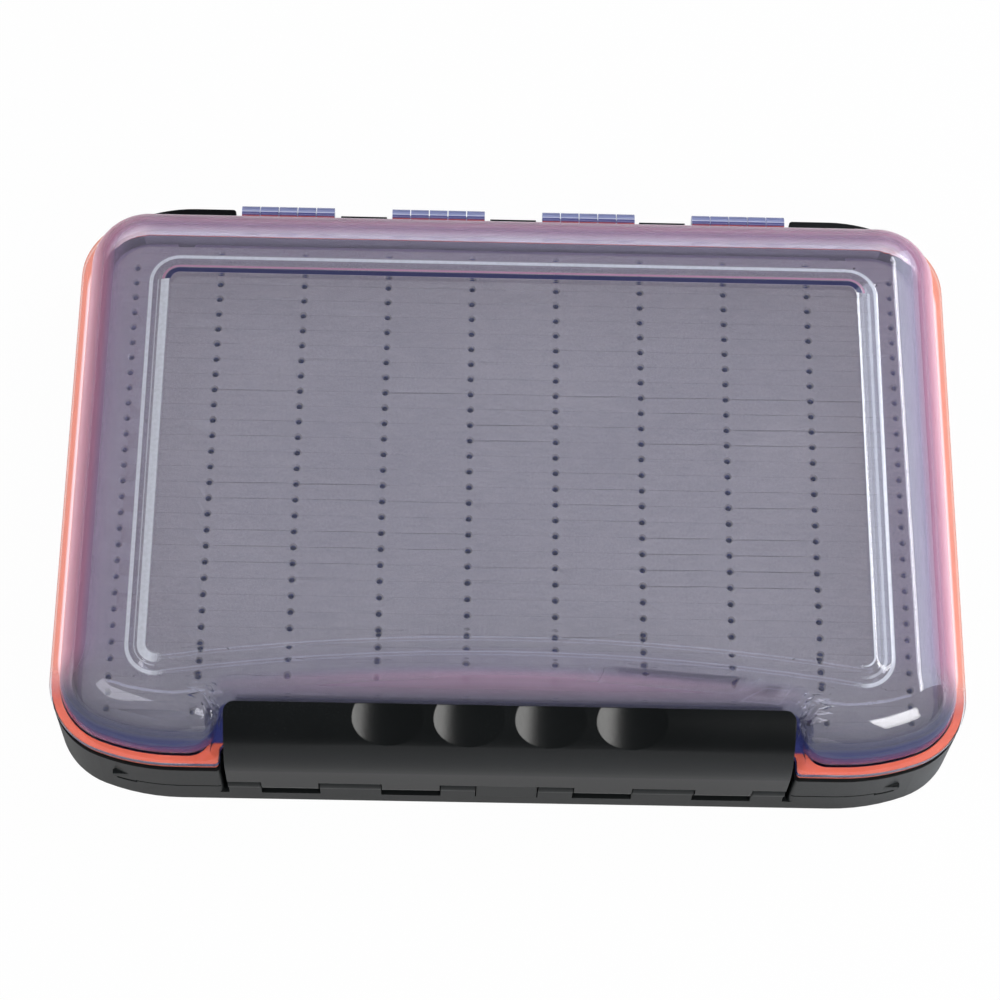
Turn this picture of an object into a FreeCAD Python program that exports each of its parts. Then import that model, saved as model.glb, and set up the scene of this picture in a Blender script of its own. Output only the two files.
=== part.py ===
import FreeCAD, Part
import math
import os
import re
import Sketcher

# Clear-lidded fly box: a base tray, a swing page with slit foam, a gasketed lid and a wide snap latch.
# Frame: +Z up, origin under the middle of the box on the table, the latch at -Y, the lid hinges at +Y.
# Lengths are millimetres and angles are degrees.

# Driving dimensions, one row of the sheet each
DIMENSIONS = {
    "outline": {
        "half_width": 127.6,
        "front_reach": 88.6,
        "rear_reach": 83.1,
        "corner_radius": 21.6,
        "shoulder_radius": 62.5,
        "shoulder_angle": 20.6,
        "rear_radius": 20.0,
    },
    "clearances": {
        "overrun": 5.0,
        "swing_gap": 0.4,
        "side_gap": 0.3,
        "rest_gap": 0.2,
        "bore_clearance": 0.05,
    },
    "base": {
        "side_height": 24.0,
        "neck_height": 2.0,
        "neck_inset": 1.0,
        "base_wall": 3.2,
        "floor_thickness": 2.4,
        "foot_radius": 1.2,
        "wing_gap": 2.15,
        "wing_inset": 16.3,
        "wing_reach": 6.4,
        "wing_end_run": 15.9,
        "wing_end_drop": 3.1,
        "wing_corner_radius": 1.0,
        "boss_rise": 1.0,
        "boss_foot": 4.0,
        "tab_width": 13.8,
        "tab_reach": 5.0,
        "step_height": 11.2,
        "step_groove_width": 0.6,
        "step_groove_depth": 0.4,
        "step_end_inset": 23.6,
        "slot_inset": 21.1,
        "slot_length": 6.0,
        "slot_width": 1.2,
        "slot_depth": 1.8,
        "ledge_inset": 25.6,
        "ledge_length": 16.0,
        "ledge_thickness": 2.4,
        "ledge_bite": 1.1,
    },
    "gasket": {
        "gasket_height": 2.0,
        "gasket_inset": 0.4,
        "gasket_rear_inset": 0.5,
        "gasket_width": 2.3,
        "gasket_end_radius": 6.0,
    },
    "lid": {
        "flange_thickness": 2.0,
        "dome_inset": 3.0,
        "dome_rear_inset": 1.6,
        "lid_wall": 2.2,
        "dome_rise": 18.4,
        "dome_radius": 15.0,
        "panel_rise": 1.6,
        "panel_side_margin": 22.4,
        "panel_slope": 5.4,
        "panel_rear_margin": 22.1,
        "panel_front_margin": 27.4,
        "panel_bow": 7.5,
        "panel_corner_radius": 8.4,
    },
    "recess": {
        "notch_depth": 6.4,
        "notch_corner_radius": 2.5,
        "rim_end_radius": 1.5,
        "recess_depth": 13.1,
        "shelf_depth": 19.6,
        "shelf_bow": 3.9,
        "shelf_drop": 5.4,
        "shelf_slope": 3.1,
        "recess_corner_radius": 5.0,
        "recess_end_radius": 9.5,
    },
    "latch": {
        "latch_half_width": 77.9,
        "latch_side_gap": 1.5,
        "latch_wall": 2.6,
        "latch_proud": 0.9,
        "bend_height": 27.0,
        "nose_radius": 21.75,
        "nose_angle": 66.8,
        "latch_corner_radius": 3.0,
        "knuckle_radius": 3.5,
        "latch_axis_height": 14.0,
        "latch_pin_radius": 1.0,
        "latch_pin_end_wall": 1.6,
        "lip_height": 6.5,
        "knuckle_edge_a": 8.8,
        "knuckle_edge_b": 18.5,
        "knuckle_edge_c": 35.2,
        "knuckle_edge_d": 52.3,
        "knuckle_edge_e": 68.8,
        "clip_height": 17.0,
        "catch_end_inset": 11.9,
        "catch_thickness": 2.0,
        "catch_bite": 1.3,
        "flute_pitch": 22.2,
        "flute_width": 17.5,
        "flute_depth": 1.3,
        "flute_end_angle": 34.5,
        "flute_lean": 33.3,
    },
    "hinge": {
        "hinge_axis_reach": 2.9,
        "barrel_radius": 2.65,
        "barrel_neck": 1.3,
        "hinge_pin_radius": 0.9,
        "hinge_width": 27.7,
        "hinge_pitch": 45.0,
        "plate_thickness": 2.0,
        "plate_foot": 9.0,
        "peg_radius": 1.5,
        "peg_length": 1.8,
        "peg_pitch": 16.0,
        "peg_height": 16.0,
    },
    "page": {
        "page_gap": 2.5,
        "page_rear_gap": 1.7,
        "page_wall": 1.6,
        "page_rim": 6.0,
        "page_core": 1.6,
        "page_foam": 4.0,
        "page_corner_radius": 5.0,
        "foam_edge_gap": 0.3,
        "pivot_setback": 15.5,
        "pivot_inset": 29.6,
        "ear_width": 4.0,
        "ear_radius": 2.6,
        "boss_width": 6.0,
        "pivot_pin_radius": 1.0,
        "base_foam": 4.0,
        "base_foam_gap": 1.5,
    },
}

HINGE_COUNT = 4
FLUTE_COUNT = 4
KNUCKLES_PER_HINGE = 5
PEGS_PER_LEAF = 2
SIDES = (("right", 1), ("left", -1))

NEAR = 1e-5
START_POINT = 1
END_POINT = 2
CCW = 1
CW = -1
QUARTER_TURN = 90
AXIS_X = FreeCAD.Vector(1, 0, 0)
AXIS_Y = FreeCAD.Vector(0, 1, 0)
AXIS_Z = FreeCAD.Vector(0, 0, 1)

doc = FreeCAD.newDocument("fly_box")
sheet = doc.addObject("Spreadsheet::Sheet", "dims")
aliases = set()


def fill_sheet():
    """Write every driving dimension as text, with its name as the alias of its cell."""
    row = 1
    for group, values in DIMENSIONS.items():
        sheet.set("A%d" % row, group)
        row += 1
        for alias, value in values.items():
            sheet.set("A%d" % row, alias)
            sheet.set("B%d" % row, str(value))
            sheet.setAlias("B%d" % row, alias)
            aliases.add(alias)
            row += 1
    doc.recompute()


fill_sheet()


def linked(text):
    """Turn a formula in dimension names into an expression on the sheet."""
    return re.sub(r"[a-z][a-z_]*", lambda m: "dims." + m.group() if m.group() in aliases else m.group(), text)


def number(text):
    """Work out a formula in dimension names."""
    result = sheet.evalExpression(linked(text))
    return float(getattr(result, "Value", result))


def bind(item, prop, text):
    """Tie a property to a formula in dimension names."""
    item.setExpression(prop, linked(text))


def plus(*texts):
    """The sum of formulas."""
    return " + ".join("(%s)" % text for text in texts)


def minus(*texts):
    """The first formula less the others."""
    return " - ".join("(%s)" % text for text in texts)


# Heights and places that several pieces share, as formulas
RIM_TOP = "side_height + neck_height"
SEAL_TOP = plus(RIM_TOP, "gasket_height")
FLANGE_TOP = plus(SEAL_TOP, "flange_thickness")
DOME_TOP = plus(SEAL_TOP, "dome_rise")
NOTCH_HALF = "latch_half_width + latch_side_gap"
NOTCH_BACK = "notch_depth - front_reach"
LATCH_FRONT = minus("0", "front_reach", "latch_proud")
LATCH_BACK = plus(LATCH_FRONT, "latch_wall")
LATCH_AXIS_Y = plus(LATCH_FRONT, "knuckle_radius")
NOSE_Y = plus(LATCH_FRONT, "nose_radius")
HINGE_AXIS_Y = "rear_reach + hinge_axis_reach"
HINGE_AXIS_Z = SEAL_TOP
PAGE_TOP = "side_height"
PAGE_MIDDLE = minus(PAGE_TOP, "page_foam", "page_core / 2")
PAGE_INSET = "base_wall + page_gap"
PAGE_REAR_INSET = "base_wall + page_rear_gap"
PIVOT_X = "half_width - pivot_inset"
PIVOT_Y = "rear_reach - pivot_setback"
EAR_CLEAR = plus(PAGE_MIDDLE, "ear_radius", "swing_gap")
PIVOT_BORE = "pivot_pin_radius + bore_clearance"
HINGE_BORE = "hinge_pin_radius + bore_clearance"


def arc_between(start, stop, radius, turn):
    """A short arc and the numbers of its ends at start and at stop; turn is the way it is walked."""
    chord = stop - start
    reach = math.sqrt(max(radius ** 2 - (chord.Length / 2) ** 2, 0))
    left = FreeCAD.Vector(-chord.y, chord.x, 0).normalize()
    centre = (start + stop) * 0.5 + left * (reach * turn)
    first, last = (start, stop) if turn == CCW else (stop, start)
    low = math.atan2(first.y - centre.y, first.x - centre.x)
    high = math.atan2(last.y - centre.y, last.x - centre.x)
    if high < low:
        high += 2 * math.pi
    circle = Part.Circle(centre, AXIS_Z, radius)
    ends = (START_POINT, END_POINT) if turn == CCW else (END_POINT, START_POINT)
    return Part.ArcOfCircle(circle, low, high), ends


def closed_sketch(body, name, plane, offset, points, arcs):
    """A closed sketch on one of the body's planes; arcs gives a side's radius and turn."""
    sketch = body.newObject("Sketcher::SketchObject", name)
    planes = [feature for feature in body.Origin.OriginFeatures if feature.Role == plane]
    sketch.AttachmentSupport = [(planes[0], "")]
    sketch.MapMode = "FlatFace"
    bind(sketch, "AttachmentOffset.Base.z", offset)
    corners = [FreeCAD.Vector(number(across), number(up), 0) for across, up in points]
    ends = []
    for side, start in enumerate(corners):
        stop = corners[(side + 1) % len(corners)]
        if side in arcs:
            radius, turn = arcs[side]
            curve, pair = arc_between(start, stop, number(radius), turn)
        else:
            curve, pair = Part.LineSegment(start, stop), (START_POINT, END_POINT)
        sketch.addGeometry(curve)
        ends.append(pair)
    for side, (first, last) in enumerate(ends):
        after = (side + 1) % len(ends)
        sketch.addConstraint(Sketcher.Constraint("Coincident", side, last, after, ends[after][0]))
        for kind, text, value in zip(("DistanceX", "DistanceY"), points[side], corners[side]):
            index = sketch.addConstraint(Sketcher.Constraint(kind, side, first, value))
            bind(sketch, "Constraints[%d]" % index, text)
        if side in arcs:
            radius = arcs[side][0]
            index = sketch.addConstraint(Sketcher.Constraint("Radius", side, number(radius)))
            bind(sketch, "Constraints[%d]" % index, radius)
    return sketch


def prism(name, plane, low, high, points, arcs=None):
    """A body padded from one offset of a plane to another."""
    body = doc.addObject("PartDesign::Body", name)
    sketch = closed_sketch(body, name + "_sketch", plane, low, points, arcs or {})
    pad = body.newObject("PartDesign::Pad", name + "_pad")
    pad.Profile = sketch
    bind(pad, "Length", minus(high, low))
    body.Tip = pad
    doc.recompute()
    return body


def loft(name, low, low_points, low_arcs, high, high_points, high_arcs):
    """A body lofted straight between two outlines, one above the other."""
    body = doc.addObject("PartDesign::Body", name)
    bottom = closed_sketch(body, name + "_bottom", "XY_Plane", low, low_points, low_arcs)
    top = closed_sketch(body, name + "_top", "XY_Plane", high, high_points, high_arcs)
    feature = body.newObject("PartDesign::AdditiveLoft", name + "_loft")
    feature.Profile = bottom
    feature.Sections = [top]
    feature.Ruled = True
    body.Tip = feature
    doc.recompute()
    return body


def round_edges(body, radius, chosen):
    """Round the edges of a body that the test chooses."""
    base = body.Tip
    names = ["Edge%d" % (i + 1) for i, edge in enumerate(base.Shape.Edges) if chosen(edge)]
    fillet = body.newObject("PartDesign::Fillet", body.Name + "_fillet")
    fillet.Base = (base, names)
    bind(fillet, "Radius", radius)
    body.Tip = fillet
    doc.recompute()


def lies_at(height):
    """A test for edges that lie wholly at a height."""
    level = number(height)
    return lambda edge: max(abs(vertex.Z - level) for vertex in edge.Vertexes) < NEAR


def box(name, across, along, up):
    """A block between low and high formulas on each axis."""
    item = doc.addObject("Part::Box", name)
    for prop, axis, (low, high) in zip(("Length", "Width", "Height"), "xyz", (across, along, up)):
        bind(item, prop, minus(high, low))
        bind(item, "Placement.Base." + axis, low)
    return item


def turned(axis, angle):
    """A placement at the origin, turned about an axis."""
    return FreeCAD.Placement(FreeCAD.Vector(), FreeCAD.Rotation(axis, angle))


def rod(name, radius, across, along, up):
    """A round bar along X."""
    item = doc.addObject("Part::Cylinder", name)
    item.Placement = turned(AXIS_Y, QUARTER_TURN)
    bind(item, "Radius", radius)
    bind(item, "Height", minus(across[1], across[0]))
    bind(item, "Placement.Base.x", across[0])
    bind(item, "Placement.Base.y", along)
    bind(item, "Placement.Base.z", up)
    return item


def stud(name, radius, across, along, up):
    """A round bar along Y, from its rear end forward."""
    item = doc.addObject("Part::Cylinder", name)
    item.Placement = turned(AXIS_X, QUARTER_TURN)
    bind(item, "Radius", radius)
    bind(item, "Height", minus(along[1], along[0]))
    bind(item, "Placement.Base.x", across)
    bind(item, "Placement.Base.y", along[1])
    bind(item, "Placement.Base.z", up)
    return item


def fuse(name, items):
    """Join pieces into one."""
    item = doc.addObject("Part::MultiFuse", name)
    item.Shapes = items
    item.Refine = True
    doc.recompute()
    return item


def cut(name, base, tools):
    """Take tools away from a piece."""
    item = doc.addObject("Part::Cut", name)
    item.Base = base
    item.Tool = tools[0] if len(tools) == 1 else fuse(name + "_tools", tools)
    item.Refine = True
    doc.recompute()
    return item


def mirrored(low, high, sign):
    """A span on the right, or the same span on the left."""
    if sign > 0:
        return low, high
    return minus("0", high), minus("0", low)


def about(middle, width):
    """The span of a width about a middle."""
    return minus(middle, "(%s) / 2" % width), plus(middle, "(%s) / 2" % width)


def spread(count, pitch):
    """The middles of evenly pitched copies about the box's middle, as formulas."""
    return ["%s * %s" % (index - (count - 1) / 2, pitch) for index in range(count)]


def rim_outline(inset, rear_inset=None):
    """The box's plan, moved in by an inset, walked counterclockwise from the front."""
    rear_inset = rear_inset or inset
    turn_x = "half_width - corner_radius"
    lean = "(shoulder_radius - corner_radius)"
    turn_y = minus("shoulder_radius - front_reach", lean + " * cos(shoulder_angle)")
    start_x = minus(turn_x, lean + " * sin(shoulder_angle)")
    corner = minus("corner_radius", inset)
    rear = minus("rear_radius", inset)
    front_y = plus("0 - front_reach", inset)
    rear_y = minus("rear_reach", rear_inset)
    right = [
        (start_x, front_y),
        (
            plus(turn_x, "(%s) * sin(shoulder_angle)" % corner),
            minus(turn_y, "(%s) * cos(shoulder_angle)" % corner),
        ),
        (minus("half_width", inset), turn_y),
        (minus("half_width", inset), minus(rear_y, rear)),
        ("half_width - rear_radius", rear_y),
    ]
    left = [(minus("0", across), along) for across, along in reversed(right)]
    shoulder = (minus("shoulder_radius", inset), CCW)
    arcs = {0: shoulder, 1: (corner, CCW), 3: (rear, CCW), 5: (rear, CCW), 7: (corner, CCW), 8: shoulder}
    return right + left, arcs


def bay_outline(half, front, back, corner, end, bow=None):
    """The plan of a bay open to the front, its mouth flared by the end radius, its back bowed if asked."""
    side_y = minus(back, corner)
    mouth_x = plus(half, end)
    right = [
        (mouth_x, minus(front, "overrun")),
        (mouth_x, front),
        (half, plus(front, end)),
        (half, side_y),
        (minus(half, corner), back),
    ]
    left = [(minus("0", across), along) for across, along in reversed(right)]
    arcs = {1: (end, CW), 3: (corner, CCW), 5: (corner, CCW), 7: (end, CW)}
    if bow:
        chord = "(%s)" % minus(half, corner)
        arcs[4] = ("(%s ^ 2 + (%s) ^ 2) / (2 * (%s))" % (chord, bow, bow), CCW)
    return right + left, arcs


def slab(name, low, high, inset, rear_inset=None):
    """A slab with the box's plan moved in by an inset."""
    points, arcs = rim_outline(inset, rear_inset)
    return prism(name, "XY_Plane", low, high, points, arcs)


def bay(name, low, high, inset, end, corner="notch_corner_radius"):
    """The notch behind the latch, grown by an inset."""
    points, arcs = bay_outline(
        plus(NOTCH_HALF, inset),
        plus("0 - front_reach", inset),
        plus(NOTCH_BACK, inset),
        plus(corner, inset),
        end,
    )
    return prism(name, "XY_Plane", low, high, points, arcs)


def knuckle_spans(owner):
    """The right-hand knuckle spans of the latch or of the base."""
    if owner == "base":
        return [
            ("knuckle_edge_a", "knuckle_edge_b"),
            ("knuckle_edge_c", "knuckle_edge_d"),
            ("knuckle_edge_e", "latch_half_width"),
        ]
    return [
        (plus("knuckle_edge_b", "side_gap"), minus("knuckle_edge_c", "side_gap")),
        (plus("knuckle_edge_d", "side_gap"), minus("knuckle_edge_e", "side_gap")),
    ]


def latch_bores(prefix):
    """The two blind bores for the latch pins, as cutters."""
    end = "latch_half_width - latch_pin_end_wall + rest_gap"
    radius = "latch_pin_radius + bore_clearance"
    bores = []
    for side, sign in SIDES:
        across = mirrored("knuckle_edge_a - overrun", end, sign)
        bores.append(rod(prefix + "_bore_" + side, radius, across, LATCH_AXIS_Y, "latch_axis_height"))
    return bores


def with_latch_knuckles(body):
    """The base with the knuckles that carry the latch pins."""
    along = ("0 - front_reach", plus(NOTCH_BACK, "base_wall / 2"))
    up = ("lip_height / 2", "latch_axis_height")
    pieces = [body]
    for side, sign in SIDES:
        for index, span in enumerate(knuckle_spans("base")):
            name = "base_knuckle_%s_%d" % (side, index)
            across = mirrored(*span, sign)
            pieces.append(rod(name, "knuckle_radius", across, LATCH_AXIS_Y, "latch_axis_height"))
            pieces.append(box(name + "_block", across, along, up))
    return cut("base_front", fuse("base_with_knuckles", pieces), latch_bores("base"))


def step_line():
    """The thin groove that runs along the front below the knuckles."""
    low, high = "step_height", "step_height + step_groove_width"
    ring = cut(
        "step_ring",
        slab("step_outer", low, high, "0 - step_groove_depth"),
        [slab("step_inner", low, high, "step_groove_depth")],
    )
    band = doc.addObject("Part::Common", "step_band")
    band.Base = ring
    band.Tool = box(
        "step_reach",
        about("0", "2 * (half_width - step_end_inset)"),
        ("0 - front_reach - overrun", "corner_radius - front_reach"),
        (low, high),
    )
    doc.recompute()
    return band


def pry_slot(side, sign):
    """The short slot near a front corner, square to the shoulder of the outline."""
    item = doc.addObject("Part::Box", "pry_slot_" + side)
    start_x = "(half_width - corner_radius - (shoulder_radius - corner_radius) * sin(shoulder_angle))"
    middle = "(half_width - slot_inset)"
    lean = "asin((%s - %s) / shoulder_radius)" % (middle, start_x)
    turn = "%d * %s" % (sign, lean)
    face_y = "shoulder_radius - front_reach - shoulder_radius * cos(%s)" % lean
    half = "slot_length / 2"
    # The sheet sets the angle, and any turn but zero keeps the axis until then
    item.Placement = turned(AXIS_Z, QUARTER_TURN)
    bind(item, "Length", "slot_length")
    bind(item, "Width", "2 * slot_depth")
    bind(item, "Height", "slot_width")
    bind(item, "Placement.Rotation.Angle", turn)
    bind(item, "Placement.Base.x", plus(
        "%d * %s" % (sign, middle),
        "0 - %s * cos(%s)" % (half, turn),
        "slot_depth * sin(%s)" % turn,
    ))
    bind(item, "Placement.Base.y", minus(
        face_y,
        "%s * sin(%s)" % (half, turn),
        "slot_depth * cos(%s)" % turn,
    ))
    bind(item, "Placement.Base.z", "step_height - slot_width")
    return item


def hinge_bosses():
    """The bosses on the rear wall: a wing beside the outermost hinges and a tab between two hinges."""
    root = "rear_reach - base_wall / 2"
    rear_y = "rear_reach + wing_reach"
    up = ("boss_foot", "side_height + boss_rise")
    beside_hinge = plus(hinge_centres()[-1], "hinge_width / 2", "wing_gap")
    sweep = "(wing_end_run ^ 2 + wing_end_drop ^ 2) / (2 * wing_end_drop)"
    bosses = []
    for side, sign in SIDES:
        inner = "%d * (%s)" % (sign, beside_hinge)
        outer = "%d * (half_width - wing_inset)" % sign
        points = [
            (inner, root),
            (outer, root),
            (outer, minus(rear_y, "wing_end_drop")),
            (minus(outer, "%d * wing_end_run" % sign), rear_y),
            (plus(inner, "%d * wing_corner_radius" % sign), rear_y),
            (inner, minus(rear_y, "wing_corner_radius")),
        ]
        turn = CCW if sign > 0 else CW
        arcs = {2: (sweep, turn), 4: ("wing_corner_radius", turn)}
        bosses.append(prism("base_wing_" + side, "XY_Plane", *up, points, arcs))
    for index, middle in enumerate(spread(HINGE_COUNT - 1, "hinge_pitch")):
        along = (root, "rear_reach + tab_reach")
        bosses.append(box("base_tab_%d" % index, about(middle, "tab_width"), along, up))
    return bosses


def base_outside():
    """The tray's outer form: the side wall with a rounded foot, the neck and the bosses."""
    side = slab("base_side", "0", "side_height", "0")
    round_edges(side, "foot_radius", lies_at("0"))
    neck = slab("base_neck", "side_height / 2", RIM_TOP, "neck_inset")
    return fuse("base_outer", [side, neck] + hinge_bosses())


def base_cutters():
    """What is taken out of the tray: its cavity, the latch bay, the step line, slots and peg holes."""
    above = plus(RIM_TOP, "overrun")
    cavity = cut(
        "base_cavity",
        slab("base_cavity_full", "floor_thickness", above, "base_wall"),
        [bay("base_cavity_bay", "0", plus(above, "overrun"), "base_wall", "gasket_end_radius")],
    )
    cutters = [
        cavity,
        bay("base_bay", "lip_height", "side_height", "0", "rim_end_radius"),
        bay("base_neck_bay", "side_height", above, "neck_inset", "rim_end_radius - neck_inset"),
        step_line(),
    ]
    cutters += [pry_slot(side, sign) for side, sign in SIDES]
    along = ("rear_reach - peg_length - rest_gap", "rear_reach + overrun")
    for index, centre in enumerate(hinge_centres()):
        cutters += peg_bars("base_peg_hole_%d" % index, "peg_radius + bore_clearance", centre, along)
    return cutters


def make_base_shell():
    """The black tray: wall, neck, latch bay, hinge bosses, page ears on posts and rest ledges."""
    fitted = with_latch_knuckles(cut("base_hollow", base_outside(), base_cutters()))
    ledge_top = minus(PAGE_MIDDLE, "page_rim / 2", "rest_gap")
    ledge_up = (minus(ledge_top, "ledge_thickness"), ledge_top)
    ledge_along = ("base_wall / 2 - front_reach", plus("0 - front_reach", PAGE_INSET, "ledge_bite"))
    post_along = about(PIVOT_Y, "2 * ear_radius")
    post_up = ("floor_thickness / 2", PAGE_MIDDLE)
    additions = []
    bores = []
    for side, sign in SIDES:
        ledge = mirrored(*about("half_width - ledge_inset", "ledge_length"), sign)
        ear = mirrored(*about(PIVOT_X, "ear_width"), sign)
        additions.append(box("base_ledge_" + side, ledge, ledge_along, ledge_up))
        additions.append(box("base_ear_post_" + side, ear, post_along, post_up))
        additions.append(rod("base_ear_" + side, "ear_radius", ear, PIVOT_Y, PAGE_MIDDLE))
        bores.append(rod("base_ear_bore_" + side, PIVOT_BORE, ear, PIVOT_Y, PAGE_MIDDLE))
    return cut("base_shell", fuse("base_fitted", [fitted] + additions), bores)


def make_gasket():
    """The rubber ring between the base's neck and the lid's flange."""
    outer = cut(
        "gasket_outer",
        slab("gasket_slab", RIM_TOP, SEAL_TOP, "gasket_inset", "gasket_rear_inset"),
        [bay("gasket_bay", RIM_TOP, SEAL_TOP, "gasket_inset", "rim_end_radius - gasket_inset")],
    )
    side, rear = "gasket_inset + gasket_width", "gasket_rear_inset + gasket_width"
    inner = cut(
        "gasket_hole",
        slab("gasket_hole_slab", RIM_TOP, SEAL_TOP, side, rear),
        [bay("gasket_hole_bay", RIM_TOP, SEAL_TOP, side, "gasket_end_radius")],
    )
    return cut("lid_gasket", outer, [inner])


def recess_tools(prefix, grow, low):
    """The finger recess over the latch: a deep bay, then a sloped shelf above it."""
    front = plus("dome_inset - front_reach", grow)
    corner = plus("recess_corner_radius", grow)
    end = minus("recess_end_radius", grow)
    shelf = minus(DOME_TOP, "shelf_drop", grow)
    top = plus(DOME_TOP, "panel_rise", minus("0", grow))
    half = plus(NOTCH_HALF, grow)
    points, arcs = bay_outline(half, front, plus("recess_depth - front_reach", grow), corner, end)
    deep = prism(prefix + "_deep", "XY_Plane", low, plus(shelf, "rest_gap"), points, arcs)
    rows = []
    for spread in ("0", "shelf_slope * (shelf_drop + panel_rise) / shelf_drop"):
        back = plus("shelf_depth - front_reach - shelf_bow", grow, spread)
        rows.append(bay_outline(plus(half, spread), front, back, corner, end, "shelf_bow"))
    return [deep, loft(prefix + "_shelf", shelf, *rows[0], top, *rows[1])]


def panel_outline(inset):
    """The plan of the raised panel, its front edge bowed to the rear."""
    half = minus("half_width", "panel_side_margin", inset)
    corner = minus("panel_corner_radius", inset)
    front = plus("panel_front_margin - front_reach - panel_bow", inset)
    rear = minus("rear_reach - panel_rear_margin", inset)
    chord = "(%s)" % minus(half, corner)
    points = [
        (plus("0", chord), front),
        (half, plus(front, corner)),
        (half, minus(rear, corner)),
        (plus("0", chord), rear),
        (minus("0", chord), rear),
        (minus("0", half), minus(rear, corner)),
        (minus("0", half), plus(front, corner)),
        (minus("0", chord), front),
    ]
    round_corner = (corner, CCW)
    bow = ("(%s ^ 2 + panel_bow ^ 2) / (2 * panel_bow)" % chord, CW)
    return points, {0: round_corner, 2: round_corner, 4: round_corner, 6: round_corner, 7: bow}


def dome(prefix, grow, low):
    """The domed form of the lid, its outside or, grown inward, its hollow."""
    points, arcs = rim_outline(plus("dome_inset", grow), plus("dome_rear_inset", grow))
    top = minus(DOME_TOP, grow)
    body = prism(prefix + "_dome", "XY_Plane", low, top, points, arcs)
    round_edges(body, minus("dome_radius", grow), lies_at(top))
    hollowed = cut(prefix + "_cut", body, recess_tools(prefix, grow, low))
    rows = [panel_outline("0"), panel_outline("panel_slope")]
    sunk = minus(top, "rest_gap")
    panel = loft(prefix + "_panel", top, *rows[0], plus(top, "panel_rise"), *rows[1])
    foot = prism(prefix + "_panel_foot", "XY_Plane", sunk, top, *rows[0])
    return fuse(prefix + "_form", [hollowed, foot, panel])


def hinge_centres():
    """The middle of each hinge across the box, as formulas."""
    return spread(HINGE_COUNT, "hinge_pitch")


def peg_bars(name, radius, centre, along):
    """Round bars at the places of a hinge leaf's pegs."""
    return [
        stud("%s_%d" % (name, index), radius, plus(centre, shift), along, "peg_height")
        for index, shift in enumerate(spread(PEGS_PER_LEAF, "peg_pitch"))
    ]


def hinge_bore(name, centre):
    """The cutter for a hinge's bore, past both its ends."""
    across = about(centre, "2 * hinge_width")
    return rod(name, HINGE_BORE, across, HINGE_AXIS_Y, HINGE_AXIS_Z)


def barrel_span(centre, index, gap="0"):
    """The span of one knuckle of a hinge, widened by a gap."""
    width = "((hinge_width - %d * side_gap) / %d)" % (KNUCKLES_PER_HINGE - 1, KNUCKLES_PER_HINGE)
    low = plus(centre, "0 - hinge_width / 2", "%d * (%s + side_gap)" % (index, width))
    return minus(low, gap), plus(low, width, gap)


def lid_knuckles():
    """The lid's hinge barrels on their necks, and the gaps for the leaves' barrels between them."""
    relief = plus("barrel_radius", "swing_gap")
    along = (minus(HINGE_AXIS_Y, relief), plus(HINGE_AXIS_Y, "overrun"))
    up = (minus(SEAL_TOP, "overrun"), plus(FLANGE_TOP, "overrun"))
    neck = (minus("rear_reach", "dome_rear_inset"), HINGE_AXIS_Y)
    neck_up = (SEAL_TOP, plus(SEAL_TOP, "barrel_neck"))
    barrels = []
    gaps = []
    for index, centre in enumerate(hinge_centres()):
        for knuckle in range(KNUCKLES_PER_HINGE):
            tag = "_%d_%d" % (index, knuckle)
            if knuckle % 2:
                gaps.append(box("lid_hinge_gap" + tag, barrel_span(centre, knuckle, "side_gap"), along, up))
            else:
                span = barrel_span(centre, knuckle)
                barrels.append(rod("lid_barrel" + tag, "barrel_radius", span, HINGE_AXIS_Y, HINGE_AXIS_Z))
                barrels.append(box("lid_neck" + tag, span, neck, neck_up))
    return barrels, gaps


def make_lid_shell():
    """The clear lid: flange, dome, raised panel, finger recess and hinge knuckles."""
    outside = dome("lid_outer", "0", SEAL_TOP)
    hollow = dome("lid_inner", "lid_wall", minus(SEAL_TOP, "overrun"))
    flange = cut(
        "lid_flange",
        slab("lid_flange_slab", SEAL_TOP, FLANGE_TOP, "0"),
        [bay("lid_flange_bay", SEAL_TOP, FLANGE_TOP, "0", "rim_end_radius")],
    )
    barrels, gaps = lid_knuckles()
    plate = cut("lid_plate", fuse("lid_solid", [outside, flange]), [hollow] + gaps)
    bores = [hinge_bore("lid_bore_%d" % index, centre) for index, centre in enumerate(hinge_centres())]
    return cut("lid_shell", fuse("lid_with_barrels", [plate] + barrels), bores)


def latch_plate(foot):
    """The latch's bent plate, its two upper corners rounded."""
    inner_radius = "nose_radius - latch_wall"
    top_z = "bend_height + (%s) * sin(nose_angle)"
    top_y = "(%s) - (%s) * cos(nose_angle)"
    points = [
        (LATCH_FRONT, foot),
        (LATCH_BACK, foot),
        (LATCH_BACK, "bend_height"),
        (top_y % (NOSE_Y, inner_radius), top_z % inner_radius),
        (top_y % (NOSE_Y, "nose_radius"), top_z % "nose_radius"),
        (LATCH_FRONT, "bend_height"),
    ]
    arcs = {2: (inner_radius, CW), 4: ("nose_radius", CCW)}
    plate = prism("latch_plate", "YZ_Plane", "0 - latch_half_width", "latch_half_width", points, arcs)
    reach = number("latch_half_width")
    crest = number(top_z % inner_radius)

    def is_corner(edge):
        ends = edge.Vertexes
        same_side = abs(sum(vertex.X for vertex in ends)) > reach
        return same_side and all(vertex.Z > crest - NEAR for vertex in ends)

    round_edges(plate, "latch_corner_radius", is_corner)
    return plate


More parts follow.
